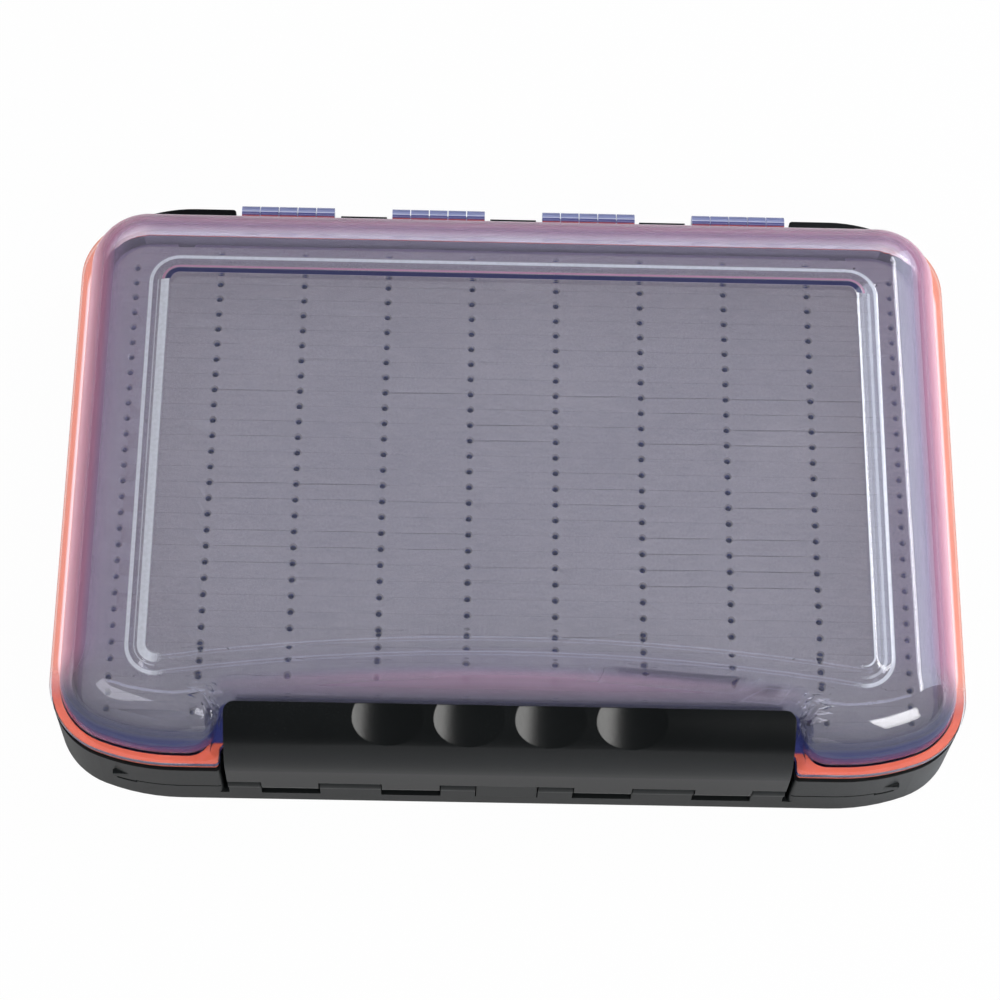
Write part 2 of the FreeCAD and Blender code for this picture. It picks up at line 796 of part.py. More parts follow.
def make_latch():
    """The wide latch: a bent plate with finger flutes, a catch rib and pivot tabs."""
    foot = "latch_axis_height + knuckle_radius + swing_gap"
    tab_up = ("latch_axis_height", plus(foot, "latch_wall"))
    pieces = [latch_plate(foot)]
    for side, sign in SIDES:
        for index, span in enumerate(knuckle_spans("latch")):
            name = "latch_tab_%s_%d" % (side, index)
            across = mirrored(*span, sign)
            pieces.append(rod(name, "knuckle_radius", across, LATCH_AXIS_Y, "latch_axis_height"))
            pieces.append(box(name + "_block", across, (LATCH_FRONT, LATCH_BACK), tab_up))
    catch_foot = plus(FLANGE_TOP, "side_gap")
    pieces.append(box(
        "latch_catch",
        about("0", "2 * (latch_half_width - catch_end_inset)"),
        (LATCH_BACK, plus(NOTCH_BACK, "catch_bite")),
        (catch_foot, plus(catch_foot, "catch_thickness")),
    ))
    return cut("latch_bar", fuse("latch_solid", pieces), latch_bores("latch") + finger_flutes())


def finger_flutes():
    """Round cutters that leave the shallow finger flutes along the latch's top."""
    radius = "((flute_width / 2) ^ 2 + flute_depth ^ 2) / (2 * flute_depth)"
    cutters = []
    for index, middle in enumerate(spread(FLUTE_COUNT, "flute_pitch")):
        item = doc.addObject("Part::Cylinder", "latch_flute_%d" % index)
        # The sheet sets the angle, and any turn but zero keeps the axis until then
        item.Placement = turned(AXIS_X * -1, QUARTER_TURN)
        bind(item, "Radius", radius)
        bind(item, "Height", "2 * nose_radius")
        bind(item, "Placement.Rotation.Angle", "90 - flute_lean")
        bind(item, "Placement.Base.x", middle)
        bind(item, "Placement.Base.y", minus(
            NOSE_Y,
            "nose_radius * cos(flute_end_angle)",
            "(%s) * sin(flute_lean)" % radius,
            "overrun * cos(flute_lean)",
        ))
        bind(item, "Placement.Base.z", plus(
            "bend_height + nose_radius * sin(flute_end_angle)",
            "(%s) * cos(flute_lean)" % radius,
            "0 - overrun * sin(flute_lean)",
        ))
        cutters.append(item)
    return cutters


def make_latch_pin(name, sign):
    """One of the two pins that the latch turns on."""
    across = mirrored("knuckle_edge_a", "latch_half_width - latch_pin_end_wall", sign)
    return rod(name, "latch_pin_radius", across, LATCH_AXIS_Y, "latch_axis_height")


def make_pin_clip():
    """The small block that fills the middle of the latch bay and keeps both pins in."""
    across = about("0", "2 * (knuckle_edge_a - side_gap)")
    return box("latch_pin_clip", across, ("0 - front_reach", NOTCH_BACK), ("lip_height", "clip_height"))


def make_hinge_leaf(name, centre):
    """The base-side leaf of one hinge: a plate with knuckles, pegged to the rear wall."""
    relief = minus(HINGE_AXIS_Z, "barrel_radius", "swing_gap")
    along = ("rear_reach", "rear_reach + plate_thickness")
    pieces = [box(name + "_plate", about(centre, "hinge_width"), along, ("plate_foot", relief))]
    for knuckle in range(1, KNUCKLES_PER_HINGE, 2):
        across = barrel_span(centre, knuckle)
        tag = "_%d" % knuckle
        pieces.append(rod(name + "_barrel" + tag, "barrel_radius", across, HINGE_AXIS_Y, HINGE_AXIS_Z))
        pieces.append(box(name + "_neck" + tag, across, along, ("plate_foot", HINGE_AXIS_Z)))
    pegs = peg_bars(name + "_peg", "peg_radius", centre, ("rear_reach - peg_length", along[1]))
    return cut(name, fuse(name + "_solid", pieces + pegs), [hinge_bore(name + "_bore", centre)])


def make_hinge_pin(name, centre):
    """The steel pin of one hinge."""
    return rod(name, "hinge_pin_radius", about(centre, "hinge_width"), HINGE_AXIS_Y, HINGE_AXIS_Z)


def page_form(name, low, high, shrink):
    """A slab with the swing page's plan, moved in by a further inset."""
    inset = plus(PAGE_INSET, shrink)
    return cut(
        name,
        slab(name + "_slab", low, high, inset, plus(PAGE_REAR_INSET, shrink)),
        [bay(name + "_bay", low, high, inset, "page_corner_radius")],
    )


def pivot_places(sign):
    """The span of the slot for the base's ear and of the page's two bosses beside it."""
    inner, outer = about(PIVOT_X, "ear_width + 2 * swing_gap")
    bosses = [
        mirrored(minus(inner, "boss_width"), inner, sign),
        mirrored(outer, plus(outer, "boss_width"), sign),
    ]
    return mirrored(inner, outer, sign), bosses


def ear_slot(name, sign):
    """The cutter for the slot where the base's ear stands, open below and to the rear."""
    along = (minus(PIVOT_Y, "ear_radius", "swing_gap"), "rear_reach + overrun")
    return box(name, pivot_places(sign)[0], along, ("floor_thickness", EAR_CLEAR))


def make_page_frame():
    """The swing page's frame: a core sheet in a rim, with pivot bosses at its rear."""
    rim_up = about(PAGE_MIDDLE, "page_rim")
    rim = cut(
        "page_rim_ring",
        page_form("page_rim_outer", *rim_up, "0"),
        [page_form("page_rim_inner", *rim_up, "page_wall")],
    )
    pieces = [rim, page_form("page_core_sheet", *about(PAGE_MIDDLE, "page_core"), "page_wall / 2")]
    tools = []
    for side, sign in SIDES:
        for index, span in enumerate(pivot_places(sign)[1]):
            tag = "_%s_%d" % (side, index)
            pieces.append(rod("page_boss" + tag, "ear_radius", span, PIVOT_Y, PAGE_MIDDLE))
            tools.append(rod("page_bore" + tag, PIVOT_BORE, span, PIVOT_Y, PAGE_MIDDLE))
        tools.append(ear_slot("page_slot_" + side, sign))
    return cut("page_frame", fuse("page_solid", pieces), tools)


def make_page_foam(name, low, high):
    """One slit-foam sheet of the swing page."""
    form = page_form(name + "_form", low, high, "page_wall + foam_edge_gap")
    radius = "ear_radius + foam_edge_gap"
    tools = []
    for side, sign in SIDES:
        tools.append(ear_slot("%s_slot_%s" % (name, side), sign))
        for index, span in enumerate(pivot_places(sign)[1]):
            wide = (minus(span[0], "foam_edge_gap"), plus(span[1], "foam_edge_gap"))
            tools.append(rod("%s_relief_%s_%d" % (name, side, index), radius, wide, PIVOT_Y, PAGE_MIDDLE))
    return cut(name, form, tools)


def make_pivot_pin(name, sign):
    """The pin that one rear corner of the swing page turns on."""
    across = mirrored(*about(PIVOT_X, "ear_width + 2 * (swing_gap + boss_width)"), sign)
    return rod(name, "pivot_pin_radius", across, PIVOT_Y, PAGE_MIDDLE)


def make_base_foam():
    """The foam sheet glued to the floor of the base, with a pocket round each ear's post."""
    inset = "base_wall + base_foam_gap"
    low, high = "floor_thickness", "floor_thickness + base_foam"
    along = about(PIVOT_Y, "2 * (ear_radius + swing_gap)")
    up = ("0", plus(high, "overrun"))
    tools = [bay("base_foam_bay", low, high, inset, "page_corner_radius")]
    for side, sign in SIDES:
        tools.append(box("base_foam_pocket_" + side, pivot_places(sign)[0], along, up))
    return cut("base_foam", slab("base_foam_slab", low, high, inset), tools)


def build_nodes():
    """Make every piece and return it under its node's name."""
    core_low, core_high = about(PAGE_MIDDLE, "page_core")
    nodes = {
        "base_shell": make_base_shell(),
        "base_foam": make_base_foam(),
        "lid_gasket": make_gasket(),
        "lid_shell": make_lid_shell(),
        "latch_bar": make_latch(),
        "latch_pin_clip": make_pin_clip(),
        "page_frame": make_page_frame(),
        "page_foam_top": make_page_foam("page_foam_top", core_high, plus(core_high, "page_foam")),
        "page_foam_bottom": make_page_foam("page_foam_bottom", minus(core_low, "page_foam"), core_low),
    }
    for side, sign in SIDES:
        for prefix, make_pin in (("latch_pin_", make_latch_pin), ("page_pin_", make_pivot_pin)):
            nodes[prefix + side] = make_pin(prefix + side, sign)
    for index, centre in enumerate(hinge_centres()):
        leaf = "hinge_leaf_%d" % (index + 1)
        pin = "hinge_pin_%d" % (index + 1)
        nodes[leaf] = make_hinge_leaf(leaf, centre)
        nodes[pin] = make_hinge_pin(pin, centre)
    return nodes


def check_and_write(nodes):
    """Stop on any failed object or broken solid, then write each piece."""
    doc.recompute()
    failed = [item.Name for item in doc.Objects if {"Invalid", "Error"} & set(item.State)]
    if failed:
        raise RuntimeError("these objects failed: " + ", ".join(failed))
    for name, item in nodes.items():
        if item.Shape.isNull() or not item.Shape.isValid() or len(item.Shape.Solids) != 1:
            raise RuntimeError("%s is not one valid solid" % name)
    os.makedirs("parts", exist_ok=True)
    for name, item in nodes.items():
        item.Label = name
        item.Shape.exportStep("parts/%s.step" % name)
        print("%-18s %9.1f mm3" % (name, item.Shape.Volume))


check_and_write(build_nodes())
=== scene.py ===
"""Looks of the clear-lidded fly box: slit foam, clear lid, orange gasket, black shell and latch."""

import logging
import math
from dataclasses import dataclass
from enum import Enum
from typing import Any

import bmesh
import bpy
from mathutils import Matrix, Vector


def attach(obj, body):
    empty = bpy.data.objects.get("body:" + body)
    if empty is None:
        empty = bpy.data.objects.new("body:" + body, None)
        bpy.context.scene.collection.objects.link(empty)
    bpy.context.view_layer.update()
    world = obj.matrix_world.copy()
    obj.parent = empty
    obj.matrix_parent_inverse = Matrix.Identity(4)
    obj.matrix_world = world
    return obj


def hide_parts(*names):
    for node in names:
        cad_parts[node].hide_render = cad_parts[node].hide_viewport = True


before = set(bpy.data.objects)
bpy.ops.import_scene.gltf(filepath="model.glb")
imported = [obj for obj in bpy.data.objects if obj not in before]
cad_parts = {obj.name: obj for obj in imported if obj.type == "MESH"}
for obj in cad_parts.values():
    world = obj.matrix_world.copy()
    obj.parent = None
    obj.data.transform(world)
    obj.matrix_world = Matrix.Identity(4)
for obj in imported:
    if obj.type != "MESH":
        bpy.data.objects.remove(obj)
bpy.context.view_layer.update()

LOG = logging.getLogger("fly_box")
MM = 0.001
UNLIT = (0.0, 0.0, 0.0, 1.0)


class Strength(Enum):
    """How much white the camera sees in place of the lit floor and world."""

    FLOOR = 0.98
    WALL = 1.0


class Face(Enum):
    """Which way the pierced face of a foam sheet looks."""

    UP = 0.0
    DOWN = math.pi


class NodeMaker:
    """Makes the nodes of one tree."""

    def __init__(self, tree: bpy.types.NodeTree) -> None:
        """Start on an empty tree.

        Args:
            tree: The tree that the nodes go into.
        """
        self.tree = tree
        tree.nodes.clear()

    def node(self, kind: str, settings: dict[str, Any] | None = None,
             values: dict[Any, Any] | None = None) -> bpy.types.Node:
        """Make one node, its settings first and then its sockets.

        Args:
            kind: The node's type.
            settings: Properties of the node; "stops" gives a ramp's places and colours.
            values: What each input socket takes, a value or a link, by name or number.

        Returns:
            The new node.
        """
        item = self.tree.nodes.new(kind)
        for name, value in (settings or {}).items():
            if name == "stops":
                self._set_stops(item.color_ramp, value)
            else:
                setattr(item, name, value)
        for key, value in (values or {}).items():
            targets = item.inputs[key]
            for link in value if isinstance(value, list) else [value]:
                source = link.socket if isinstance(link, Wire) else link
                if isinstance(source, bpy.types.NodeSocket):
                    self.tree.links.new(source, targets)
                else:
                    targets.default_value = source
        return item

    def wire(self, kind: str, settings: dict[str, Any] | None = None,
             values: dict[Any, Any] | None = None, output: Any = 0) -> "Wire":
        """Make a node and return one of its outputs.

        Args:
            kind: The node's type.
            settings: Properties of the node.
            values: What each input socket takes.
            output: The name or number of the output.

        Returns:
            The output, ready for operators.
        """
        return Wire(self, self.node(kind, settings, values).outputs[output])

    @staticmethod
    def _set_stops(ramp: bpy.types.ColorRamp, stops: list[tuple[float, tuple]]) -> None:
        """Give a colour ramp its stops.

        Args:
            ramp: The ramp, fresh from its node.
            stops: Each stop's place and colour, in order.
        """
        while len(ramp.elements) < len(stops):
            ramp.elements.new(1.0)
        for element, (place, colour) in zip(ramp.elements, stops):
            element.position = place
            element.color = (*colour, 1.0)


class Wire:
    """A socket that Python's operators turn into Math nodes."""

    def __init__(self, maker: NodeMaker, socket: bpy.types.NodeSocket) -> None:
        """Wrap an output socket.

        Args:
            maker: The maker of the tree that the socket is in.
            socket: The output socket.
        """
        self.maker = maker
        self.socket = socket

    def math(self, operation: str, *terms: Any) -> "Wire":
        """Add a Math node.

        Args:
            operation: The node's operation.
            terms: Its inputs, numbers or wires.

        Returns:
            The node's output.
        """
        return self.maker.wire("ShaderNodeMath", {"operation": operation}, dict(enumerate(terms)))

    def __add__(self, other: Any) -> "Wire":
        """This plus a number or wire."""
        return self.math("ADD", self, other)

    __radd__ = __add__

    def __mul__(self, other: Any) -> "Wire":
        """This times a number or wire."""
        return self.math("MULTIPLY", self, other)

    __rmul__ = __mul__

    def __sub__(self, other: Any) -> "Wire":
        """This less a number or wire."""
        return self.math("SUBTRACT", self, other)

    def __rsub__(self, other: Any) -> "Wire":
        """A number or wire less this."""
        return self.math("SUBTRACT", other, self)

    def __truediv__(self, other: Any) -> "Wire":
        """This over a number or wire."""
        return self.math("DIVIDE", self, other)

    def __gt__(self, other: Any) -> "Wire":
        """1 where this is more than the other, else 0."""
        return self.math("GREATER_THAN", self, other)

    def size(self) -> "Wire":
        """This without its sign."""
        return self.math("ABSOLUTE", self)

    def most(self, other: Any) -> "Wire":
        """The larger of this and a number or wire."""
        return self.math("MAXIMUM", self, other)

    def window(self, low: float, high: float, soft: float) -> "Wire":
        """1 between two values and 0 outside them, with soft ends.

        Args:
            low: The lower end.
            high: The upper end.
            soft: How wide each end's slope is.

        Returns:
            The window.
        """
        return self.eased(low, low + soft) * (1.0 - self.eased(high - soft, high))

    def eased(self, low: float, high: float) -> "Wire":
        """Ease from 0 at one value to 1 at another.

        Args:
            low: Where the result is 0.
            high: Where the result is 1.

        Returns:
            The eased value.
        """
        settings = {"interpolation_type": "SMOOTHSTEP"}
        values = {"Value": self, "From Min": low, "From Max": high}
        return self.maker.wire("ShaderNodeMapRange", settings, values)


class Surface(NodeMaker):
    """A material's tree, with the patterns that several finishes share."""

    def __init__(self, name: str) -> None:
        """Start a material.

        Args:
            name: The material's name.
        """
        self.material = bpy.data.materials.new(name)
        self.material.use_nodes = True
        super().__init__(self.material.node_tree)
        self.place = self.wire("ShaderNodeTexCoord", output="Object")

    def noise(self, scale: float, detail: float = 3.0, stretch: tuple = (1, 1, 1),
              turn: float = 0.0) -> Wire:
        """A noise pattern over the piece.

        Args:
            scale: Grains in a metre.
            detail: Octaves of finer grain.
            stretch: How the grain's pace differs on each axis.
            turn: The pattern's turn about Z, in radians.

        Returns:
            The noise, about 0.5 on average.
        """
        place = self.place
        if stretch != (1, 1, 1) or turn:
            place = self.wire("ShaderNodeMapping", None, {
                "Vector": place, "Scale": stretch, "Rotation": (0.0, 0.0, turn)})
        values = {"Vector": place, "Scale": scale, "Detail": detail}
        return self.wire("ShaderNodeTexNoise", None, values, "Fac")

    def along(self, axis: str) -> Wire:
        """How far along an axis a point of the piece is, in metres."""
        return self.wire("ShaderNodeSeparateXYZ", None, {0: self.place}, axis)

    def height(self) -> Wire:
        """How high a point of the piece is, in metres."""
        return self.along("Z")

    def blend(self, factor: Any, first: Any, second: Any) -> Wire:
        """Mix two colours.

        Args:
            factor: The share of the second colour.
            first: The first colour, as numbers or a wire.
            second: The second colour, as numbers or a wire.

        Returns:
            The mixed colour.
        """
        settings = {"data_type": "RGBA", "clamp_factor": True}
        values = {0: factor, 6: self.opaque(first), 7: self.opaque(second)}
        return self.wire("ShaderNodeMix", settings, values, 2)

    def between(self, factor: Any, first: Any, second: Any) -> Wire:
        """Mix two values.

        Args:
            factor: The share of the second value.
            first: The first value, a number or a wire.
            second: The second value, a number or a wire.

        Returns:
            The mixed value.
        """
        return self.wire("ShaderNodeMix", None, {0: factor, 2: first, 3: second})

    @staticmethod
    def opaque(colour: Any) -> Any:
        """A colour with its alpha, or a wire as it is."""
        return (*colour, 1.0) if isinstance(colour, tuple) else colour

    def bump(self, height: Wire, distance: float, strength: float = 1.0, edge: float = 0.0) -> Wire:
        """A bumped normal, its edges rounded off if asked.

        Args:
            height: The pattern's height, 0 to 1.
            distance: The height of 1, in metres.
            strength: How strongly it shows.
            edge: The radius of the rounded edges, in metres.

        Returns:
            The normal.
        """
        values = {"Height": height, "Distance": distance, "Strength": strength}
        if edge:
            values["Normal"] = self.wire("ShaderNodeBevel", {"samples": 4}, {"Radius": edge})
        return self.wire("ShaderNodeBump", None, values, "Normal")

    def principled(self, values: dict[str, Any]) -> bpy.types.Node:
        """The main shader.

        Args:
            values: What its sockets take.

        Returns:
            The shader's node.
        """
        return self.node("ShaderNodeBsdfPrincipled", None, values)

    def finish(self, shader: Any, volume: Any = None) -> bpy.types.Material:
        """Send the shaders to the output.

        Args:
            shader: The surface's shader.
            volume: The inside's shader, if it has one.

        Returns:
            The finished material.
        """
        values = {"Surface": shader}
        if volume:
            values["Volume"] = volume
        self.node("ShaderNodeOutputMaterial", None, values)
        return self.material


@dataclass(frozen=True)
class SatinPlastic:
    """Moulded black plastic with a fine eroded grain."""

    colour: tuple = (0.012, 0.014, 0.0145)
    roughness: float = 0.36
    grain: float = 2600.0
    depth: float = 0.012 * MM
    edge: float = 0.35 * MM
    sheen: float = 0.3
    cloud_scale: float = 26.0
    cloud_span: tuple = (0.35, 0.75)
    mottle: tuple = (0.6, 0.25)
    paler_by: tuple = (1.5, 0.002)
    unevenness: tuple = (0.1, 0.12)

    def material(self, name: str) -> bpy.types.Material:
        """Build the material.

        Args:
            name: The material's name.

        Returns:
            The material.
        """
        make = Surface(name)
        cloud = make.noise(self.cloud_scale, 4.0)
        grain = make.noise(self.grain, 2.0)
        times, plus = self.paler_by
        paler = tuple(min(channel * times + plus, 1.0) for channel in self.colour)
        mottled = cloud.eased(*self.cloud_span) * self.mottle[0] + grain * self.mottle[1]
        colour = make.blend(mottled, self.colour, paler)
        colour = self.shaded(make, colour)
        rough = self.roughness + (cloud - 0.5) * self.unevenness[0] + (grain - 0.5) * self.unevenness[1]
        normal = make.bump(grain + make.noise(self.grain * 0.3, 2.0) * 0.6, self.depth, 1.0, self.edge)
        shader = make.principled({
            "Base Color": colour, "Roughness": rough, "Normal": normal, "Specular IOR Level": self.sheen})
        return make.finish(shader.outputs[0])

    def shaded(self, make: Surface, colour: Wire) -> Wire:
        """The colour as it changes over the piece; the plain finish keeps it even."""
        return colour


@dataclass(frozen=True)
class ShellPlastic(SatinPlastic):
    """The tray's plastic, greyed on the inner face of the rear wall and blacker on the rear bosses."""

    inner: tuple = (0.15, 0.145, 0.17)
    inner_face: tuple = (79.6 * MM, 80.3 * MM, 0.05 * MM)
    inner_foot: float = 14.0 * MM
    blacker: tuple = (0.003, 0.0035, 0.004)
    boss_start: float = 84.0 * MM
    share: float = 0.9

    def shaded(self, make: Surface, colour: Wire) -> Wire:
        """Grey the inner rear wall and blacken the bosses.

        Args:
            make: The material's maker.
            colour: The even colour.

        Returns:
            The changed colour.
        """
        behind = make.along("Y")
        face = behind.window(*self.inner_face) * (make.height() > self.inner_foot)
        colour = make.blend(face * self.share, colour, self.inner)
        return make.blend((behind > self.boss_start) * self.share, colour, self.blacker)


@dataclass(frozen=True)
class LatchPlastic(SatinPlastic):
    """The latch's plastic, blacker and glossier than the tray's."""

    colour: tuple = (0.0045, 0.0056, 0.006)
    roughness: float = 0.24
    sheen: float = 0.4


@dataclass(frozen=True)
class PagePlastic(SatinPlastic):
    """The page frame's smoky violet plastic."""

    colour: tuple = (0.10, 0.085, 0.135)
    roughness: float = 0.5


@dataclass(frozen=True)
class ClearPlastic:
    """Polished clear polycarbonate with a violet-blue cast in its thickness."""

    tint: tuple = (0.955, 0.958, 0.985)
    inside: tuple = (0.55, 0.58, 1.0)
    density: float = 24.0
    roughness: float = 0.012
    ripple: float = 0.02 * MM
    ripple_scale: float = 55.0
    scuff_scale: float = 70.0
    scuff_stretch: tuple = (1.0, 22.0, 1.0)
    scuff_turn: float = -0.85
    scuff_span: tuple = (0.66, 0.74)
    patch_scale: float = 9.0
    patch_span: tuple = (0.5, 0.7)
    refraction: float = 1.58
    painted_layer_refraction: float = 1.5
    painted_layer_extra_roughness: float = 0.08

    def material(self, name: str) -> bpy.types.Material:
        """Build the material, clear to the lamps' shadow rays.

        Args:
            name: The material's name.

        Returns:
            The material.
        """
        make = Surface(name)
        lines = make.noise(self.scuff_scale, 3.0, self.scuff_stretch, self.scuff_turn)
        scuff = lines.eased(*self.scuff_span) * make.noise(self.patch_scale, 1.0).eased(*self.patch_span)
        rough = self.roughness + scuff * 0.1
        normal = make.bump(make.noise(self.ripple_scale, 1.0) + scuff * 0.05, self.ripple)
        clear = make.principled({
            "Base Color": self.tint + (1.0,), "Roughness": rough, "Normal": normal,
            "IOR": self.refraction, "Transmission Weight": 1.0})
        # the hazy layer carries the painted reflections, painted shade, painted highlights and painted glow
        # that a finish gives it
        share, colour, glow = self.haze_and_painted_light(make)
        hazy_painted_layer = make.principled({
            "Base Color": colour, "Roughness": rough + self.painted_layer_extra_roughness, "Normal": normal,
            "IOR": self.painted_layer_refraction, "Emission Color": glow, "Emission Strength": 1.0})
        shader = make.node("ShaderNodeMixShader", None, {
            0: share, 1: clear.outputs[0], 2: hazy_painted_layer.outputs[0]})
        open_way = make.node("ShaderNodeBsdfTransparent", None, {"Color": self.tint + (1.0,)})
        shadow = make.wire("ShaderNodeLightPath", output="Is Shadow Ray")
        mixed = make.node("ShaderNodeMixShader", None, {
            0: shadow, 1: shader.outputs[0], 2: open_way.outputs[0]})
        cast = make.node("ShaderNodeVolumeAbsorption", None, {
            "Color": self.inside + (1.0,), "Density": self.density})
        return make.finish(mixed.outputs[0], cast.outputs[0])

    def haze_and_painted_light(self, make: Surface) -> tuple[Any, Any, Any]:
        """How much of the surface is a hazy layer that carries painted light, the layer's colour, and the
        glow painted onto it though it is no lamp.

        Args:
            make: The material's maker; not used here.

        Returns:
            The share, a wire or a number, and the two colours.
        """
        return 0.0, (0.8, 0.8, 0.8, 1.0), UNLIT


@dataclass(frozen=True)
class HingeTintAndPaintedLight:
    """The hinge's pale violet tint, with painted light across it: a painted reflection of the gasket's
    orange, a painted dark blue shade line and a painted highlight band along the top.
    """

    # painted reflection of the gasket seen in the clear hinge; the dark blue below is a painted shade line
    # and the pale band a painted highlight
    orange: tuple = (0.6, 0.12, 0.05)
    painted_navy: tuple = (0.05, 0.045, 0.2)
    painted_highlight: tuple = (0.86, 0.88, 0.95)
    violet: tuple = (0.34, 0.38, 0.64)
    orange_end: tuple = (84.6 * MM, 85.0 * MM)
    painted_shade_end: tuple = (85.7 * MM, 85.95 * MM)
    highlight_band: tuple = (85.75 * MM, 86.15 * MM, 0.1 * MM)
    highlight_share: float = 0.85

    def colour(self, make: Surface) -> Wire:
        """The hinge's tint with its painted reflection, painted shade line and painted highlight.

        Args:
            make: The material's maker.

        Returns:
            The colour.
        """
        behind = make.along("Y")
        # painted dark blue shade line where the barrel meets the flange, then the hinge's own pale violet
        colour = make.blend(behind.eased(*self.painted_shade_end), self.painted_navy, self.violet)
        # painted reflection of the gasket's orange along the hinge's front
        colour = make.blend(1.0 - behind.eased(*self.orange_end), colour, self.orange)
        # painted highlight band along the hinge's top
        return make.blend(behind.window(*self.highlight_band) * self.highlight_share, colour, self.painted_highlight)


@dataclass(frozen=True)
class LidPlastic(ClearPlastic):
    """The lid's plastic, with painted reflections and a painted glow on its rim, painted shade on its front
    wall and painted highlights on its panel's edges.
    """

    rim_span: tuple = (30.0 * MM, 46.5 * MM)
    # painted reflections of the gasket and painted shade up the side and rear walls, pale rose at the foot to
    # dark violet at the top
    rim_painted_light: tuple = (
        (0.0, (0.92, 0.86, 0.86)), (0.10, (0.92, 0.78, 0.80)), (0.40, (0.80, 0.42, 0.50)),
        (0.66, (0.62, 0.29, 0.39)), (0.76, (0.28, 0.19, 0.30)), (0.90, (0.165, 0.15, 0.24)))
    rim_fade: tuple = (0.60, 0.99)
    rim_share: float = 0.84
    flange_levels: tuple = (0.0, 0.06)
    flange_clearer: float = 0.45
    # painted reflection of the gasket along the flange's outer edge
    gasket_reflection_salmon: tuple = (0.86, 0.42, 0.30)
    salmon_edge: tuple = (1.6 * MM, 2.2 * MM)
    outline: tuple = (127.6 * MM, 84.0 * MM, 26.0 * MM)
    sides_span: tuple = (104.0 * MM, 116.0 * MM)
    front_edge: tuple = (-74.0 * MM, -58.0 * MM)
    # painted shade on the front wall, dark blue low and dark grey higher
    front_painted_shade: tuple = (
        (0.0, (0.030, 0.036, 0.13)), (0.40, (0.026, 0.032, 0.11)), (0.56, (0.13, 0.13, 0.165)),
        (0.90, (0.16, 0.16, 0.20)))
    foot_fade: tuple = (0.44, 0.60)
    foot_share: float = 0.5
    front_fade: tuple = (0.4, 1.0)
    front_share: float = 0.42
    front_flange_share: float = 0.85
    # painted glow: how much of the rim's colour is emitted as light, at the sides and at the front
    glow_share_sides: float = 0.30
    glow_fade_sides: tuple = (0.45, 0.78)
    glow_share_front: float = 0.45
    glow_fade_front: tuple = (0.35, 0.60)
    barrel_start: float = 83.2 * MM
    barrel_share: float = 0.7
    salmon_dimming: float = 0.7
    foot_line_share: float = 0.75
    brow_share: float = 0.85
    stripe_share: float = 0.9
    # noise that breaks up the painted highlights
    highlight_noise: tuple = (900.0, 0.8, 0.4)
    panel_foot: float = 46.4 * MM
    side_edge: tuple = (93.0 * MM, 99.0 * MM)
    rear_edge: float = 53.0 * MM
    # painted highlight colour of the panel's edges
    glint: tuple = (0.82, 0.84, 0.93)
    # painted reflection lines along the panel's rear edge
    painted_pink: tuple = (0.52, 0.25, 0.38)
    painted_navy: tuple = (0.03, 0.035, 0.12)
    foot_line: tuple = (46.42 * MM, 46.66 * MM, 0.06 * MM)
    brow_lines: tuple = (
        ((47.24 * MM, 47.95 * MM, 0.10 * MM), 1.0), ((46.98 * MM, 47.12 * MM, 0.04 * MM), 0.6))
    thin_lines: tuple = (
        ((47.82 * MM, 47.95 * MM, 0.04 * MM), 1.0), ((46.90 * MM, 47.25 * MM, 0.08 * MM), 0.45))
    pink_line: tuple = (47.30 * MM, 47.62 * MM, 0.08 * MM)
    navy_line: tuple = (47.60 * MM, 47.985 * MM, 0.05 * MM)

    def haze_and_painted_light(self, make: Surface) -> tuple[Wire, Wire, Wire]:
        """The painted reflections on the rim, painted shade on the front wall, painted highlights on the
        panel edges, the hinge barrels' tint with painted light, and a painted glow.

        Args:
            make: The material's maker.

        Returns:
            The share, the colour and the painted glow.
        """
        low, high = self.rim_span
        behind = make.along("Y")
        level = (make.height() - low) / (high - low)
        front = 1.0 - behind.eased(*self.front_edge)
        flat = 1.0 - level.eased(*self.flange_levels)
        outer = 1.0 - self._inset(make).eased(*self.salmon_edge)
        sides = make.along("X").size().eased(*self.sides_span)
        barrel = behind > self.barrel_start
        share = make.between(front, self._rim_share(level, flat), self._front_share(level))
        share = share.most(flat * front * (1.0 - outer) * self.front_flange_share)
        # painted reflections up the walls and painted shade on the front wall
        rim = make.wire("ShaderNodeValToRGB", {"stops": self.rim_painted_light}, {0: level})
        wall = make.wire("ShaderNodeValToRGB", {"stops": self.front_painted_shade}, {0: level})
        # painted reflection of the gasket on the flange's outer edge
        colour = make.blend(flat * outer * sides * (1.0 - front), make.blend(front, rim, wall), self.gasket_reflection_salmon)
        share, colour = self._paint_edge_light(make, share, colour)
        share = make.between(barrel, share, self.barrel_share)
        # the hinge barrels take the hinge's tint with its painted light
        colour = make.blend(barrel, colour, HingeTintAndPaintedLight().colour(make))
        # painted glow, emitted by the rim though it is no lamp
        lit = (1.0 - level.eased(*self.glow_fade_sides)) * (1.0 - front) * (1.0 - barrel) * sides * self.glow_share_sides
        lit = lit * (1.0 - flat * outer * self.salmon_dimming)
        front_glow = (1.0 - level.eased(*self.glow_fade_front)) * front * (1.0 - flat * outer)
        lit = lit + front_glow * self.glow_share_front
        return share, colour, make.blend(lit, UNLIT[:3], colour)

    def _rim_share(self, level: Wire, flat: Wire) -> Wire:
        """How much of the side and rear walls carries the painted reflections.

        Args:
            level: The height on the wall, 0 to 1.
            flat: 1 on the flange.

        Returns:
            The share.
        """
        return (1.0 - level.eased(*self.rim_fade)) * self.rim_share * (1.0 - flat * self.flange_clearer)

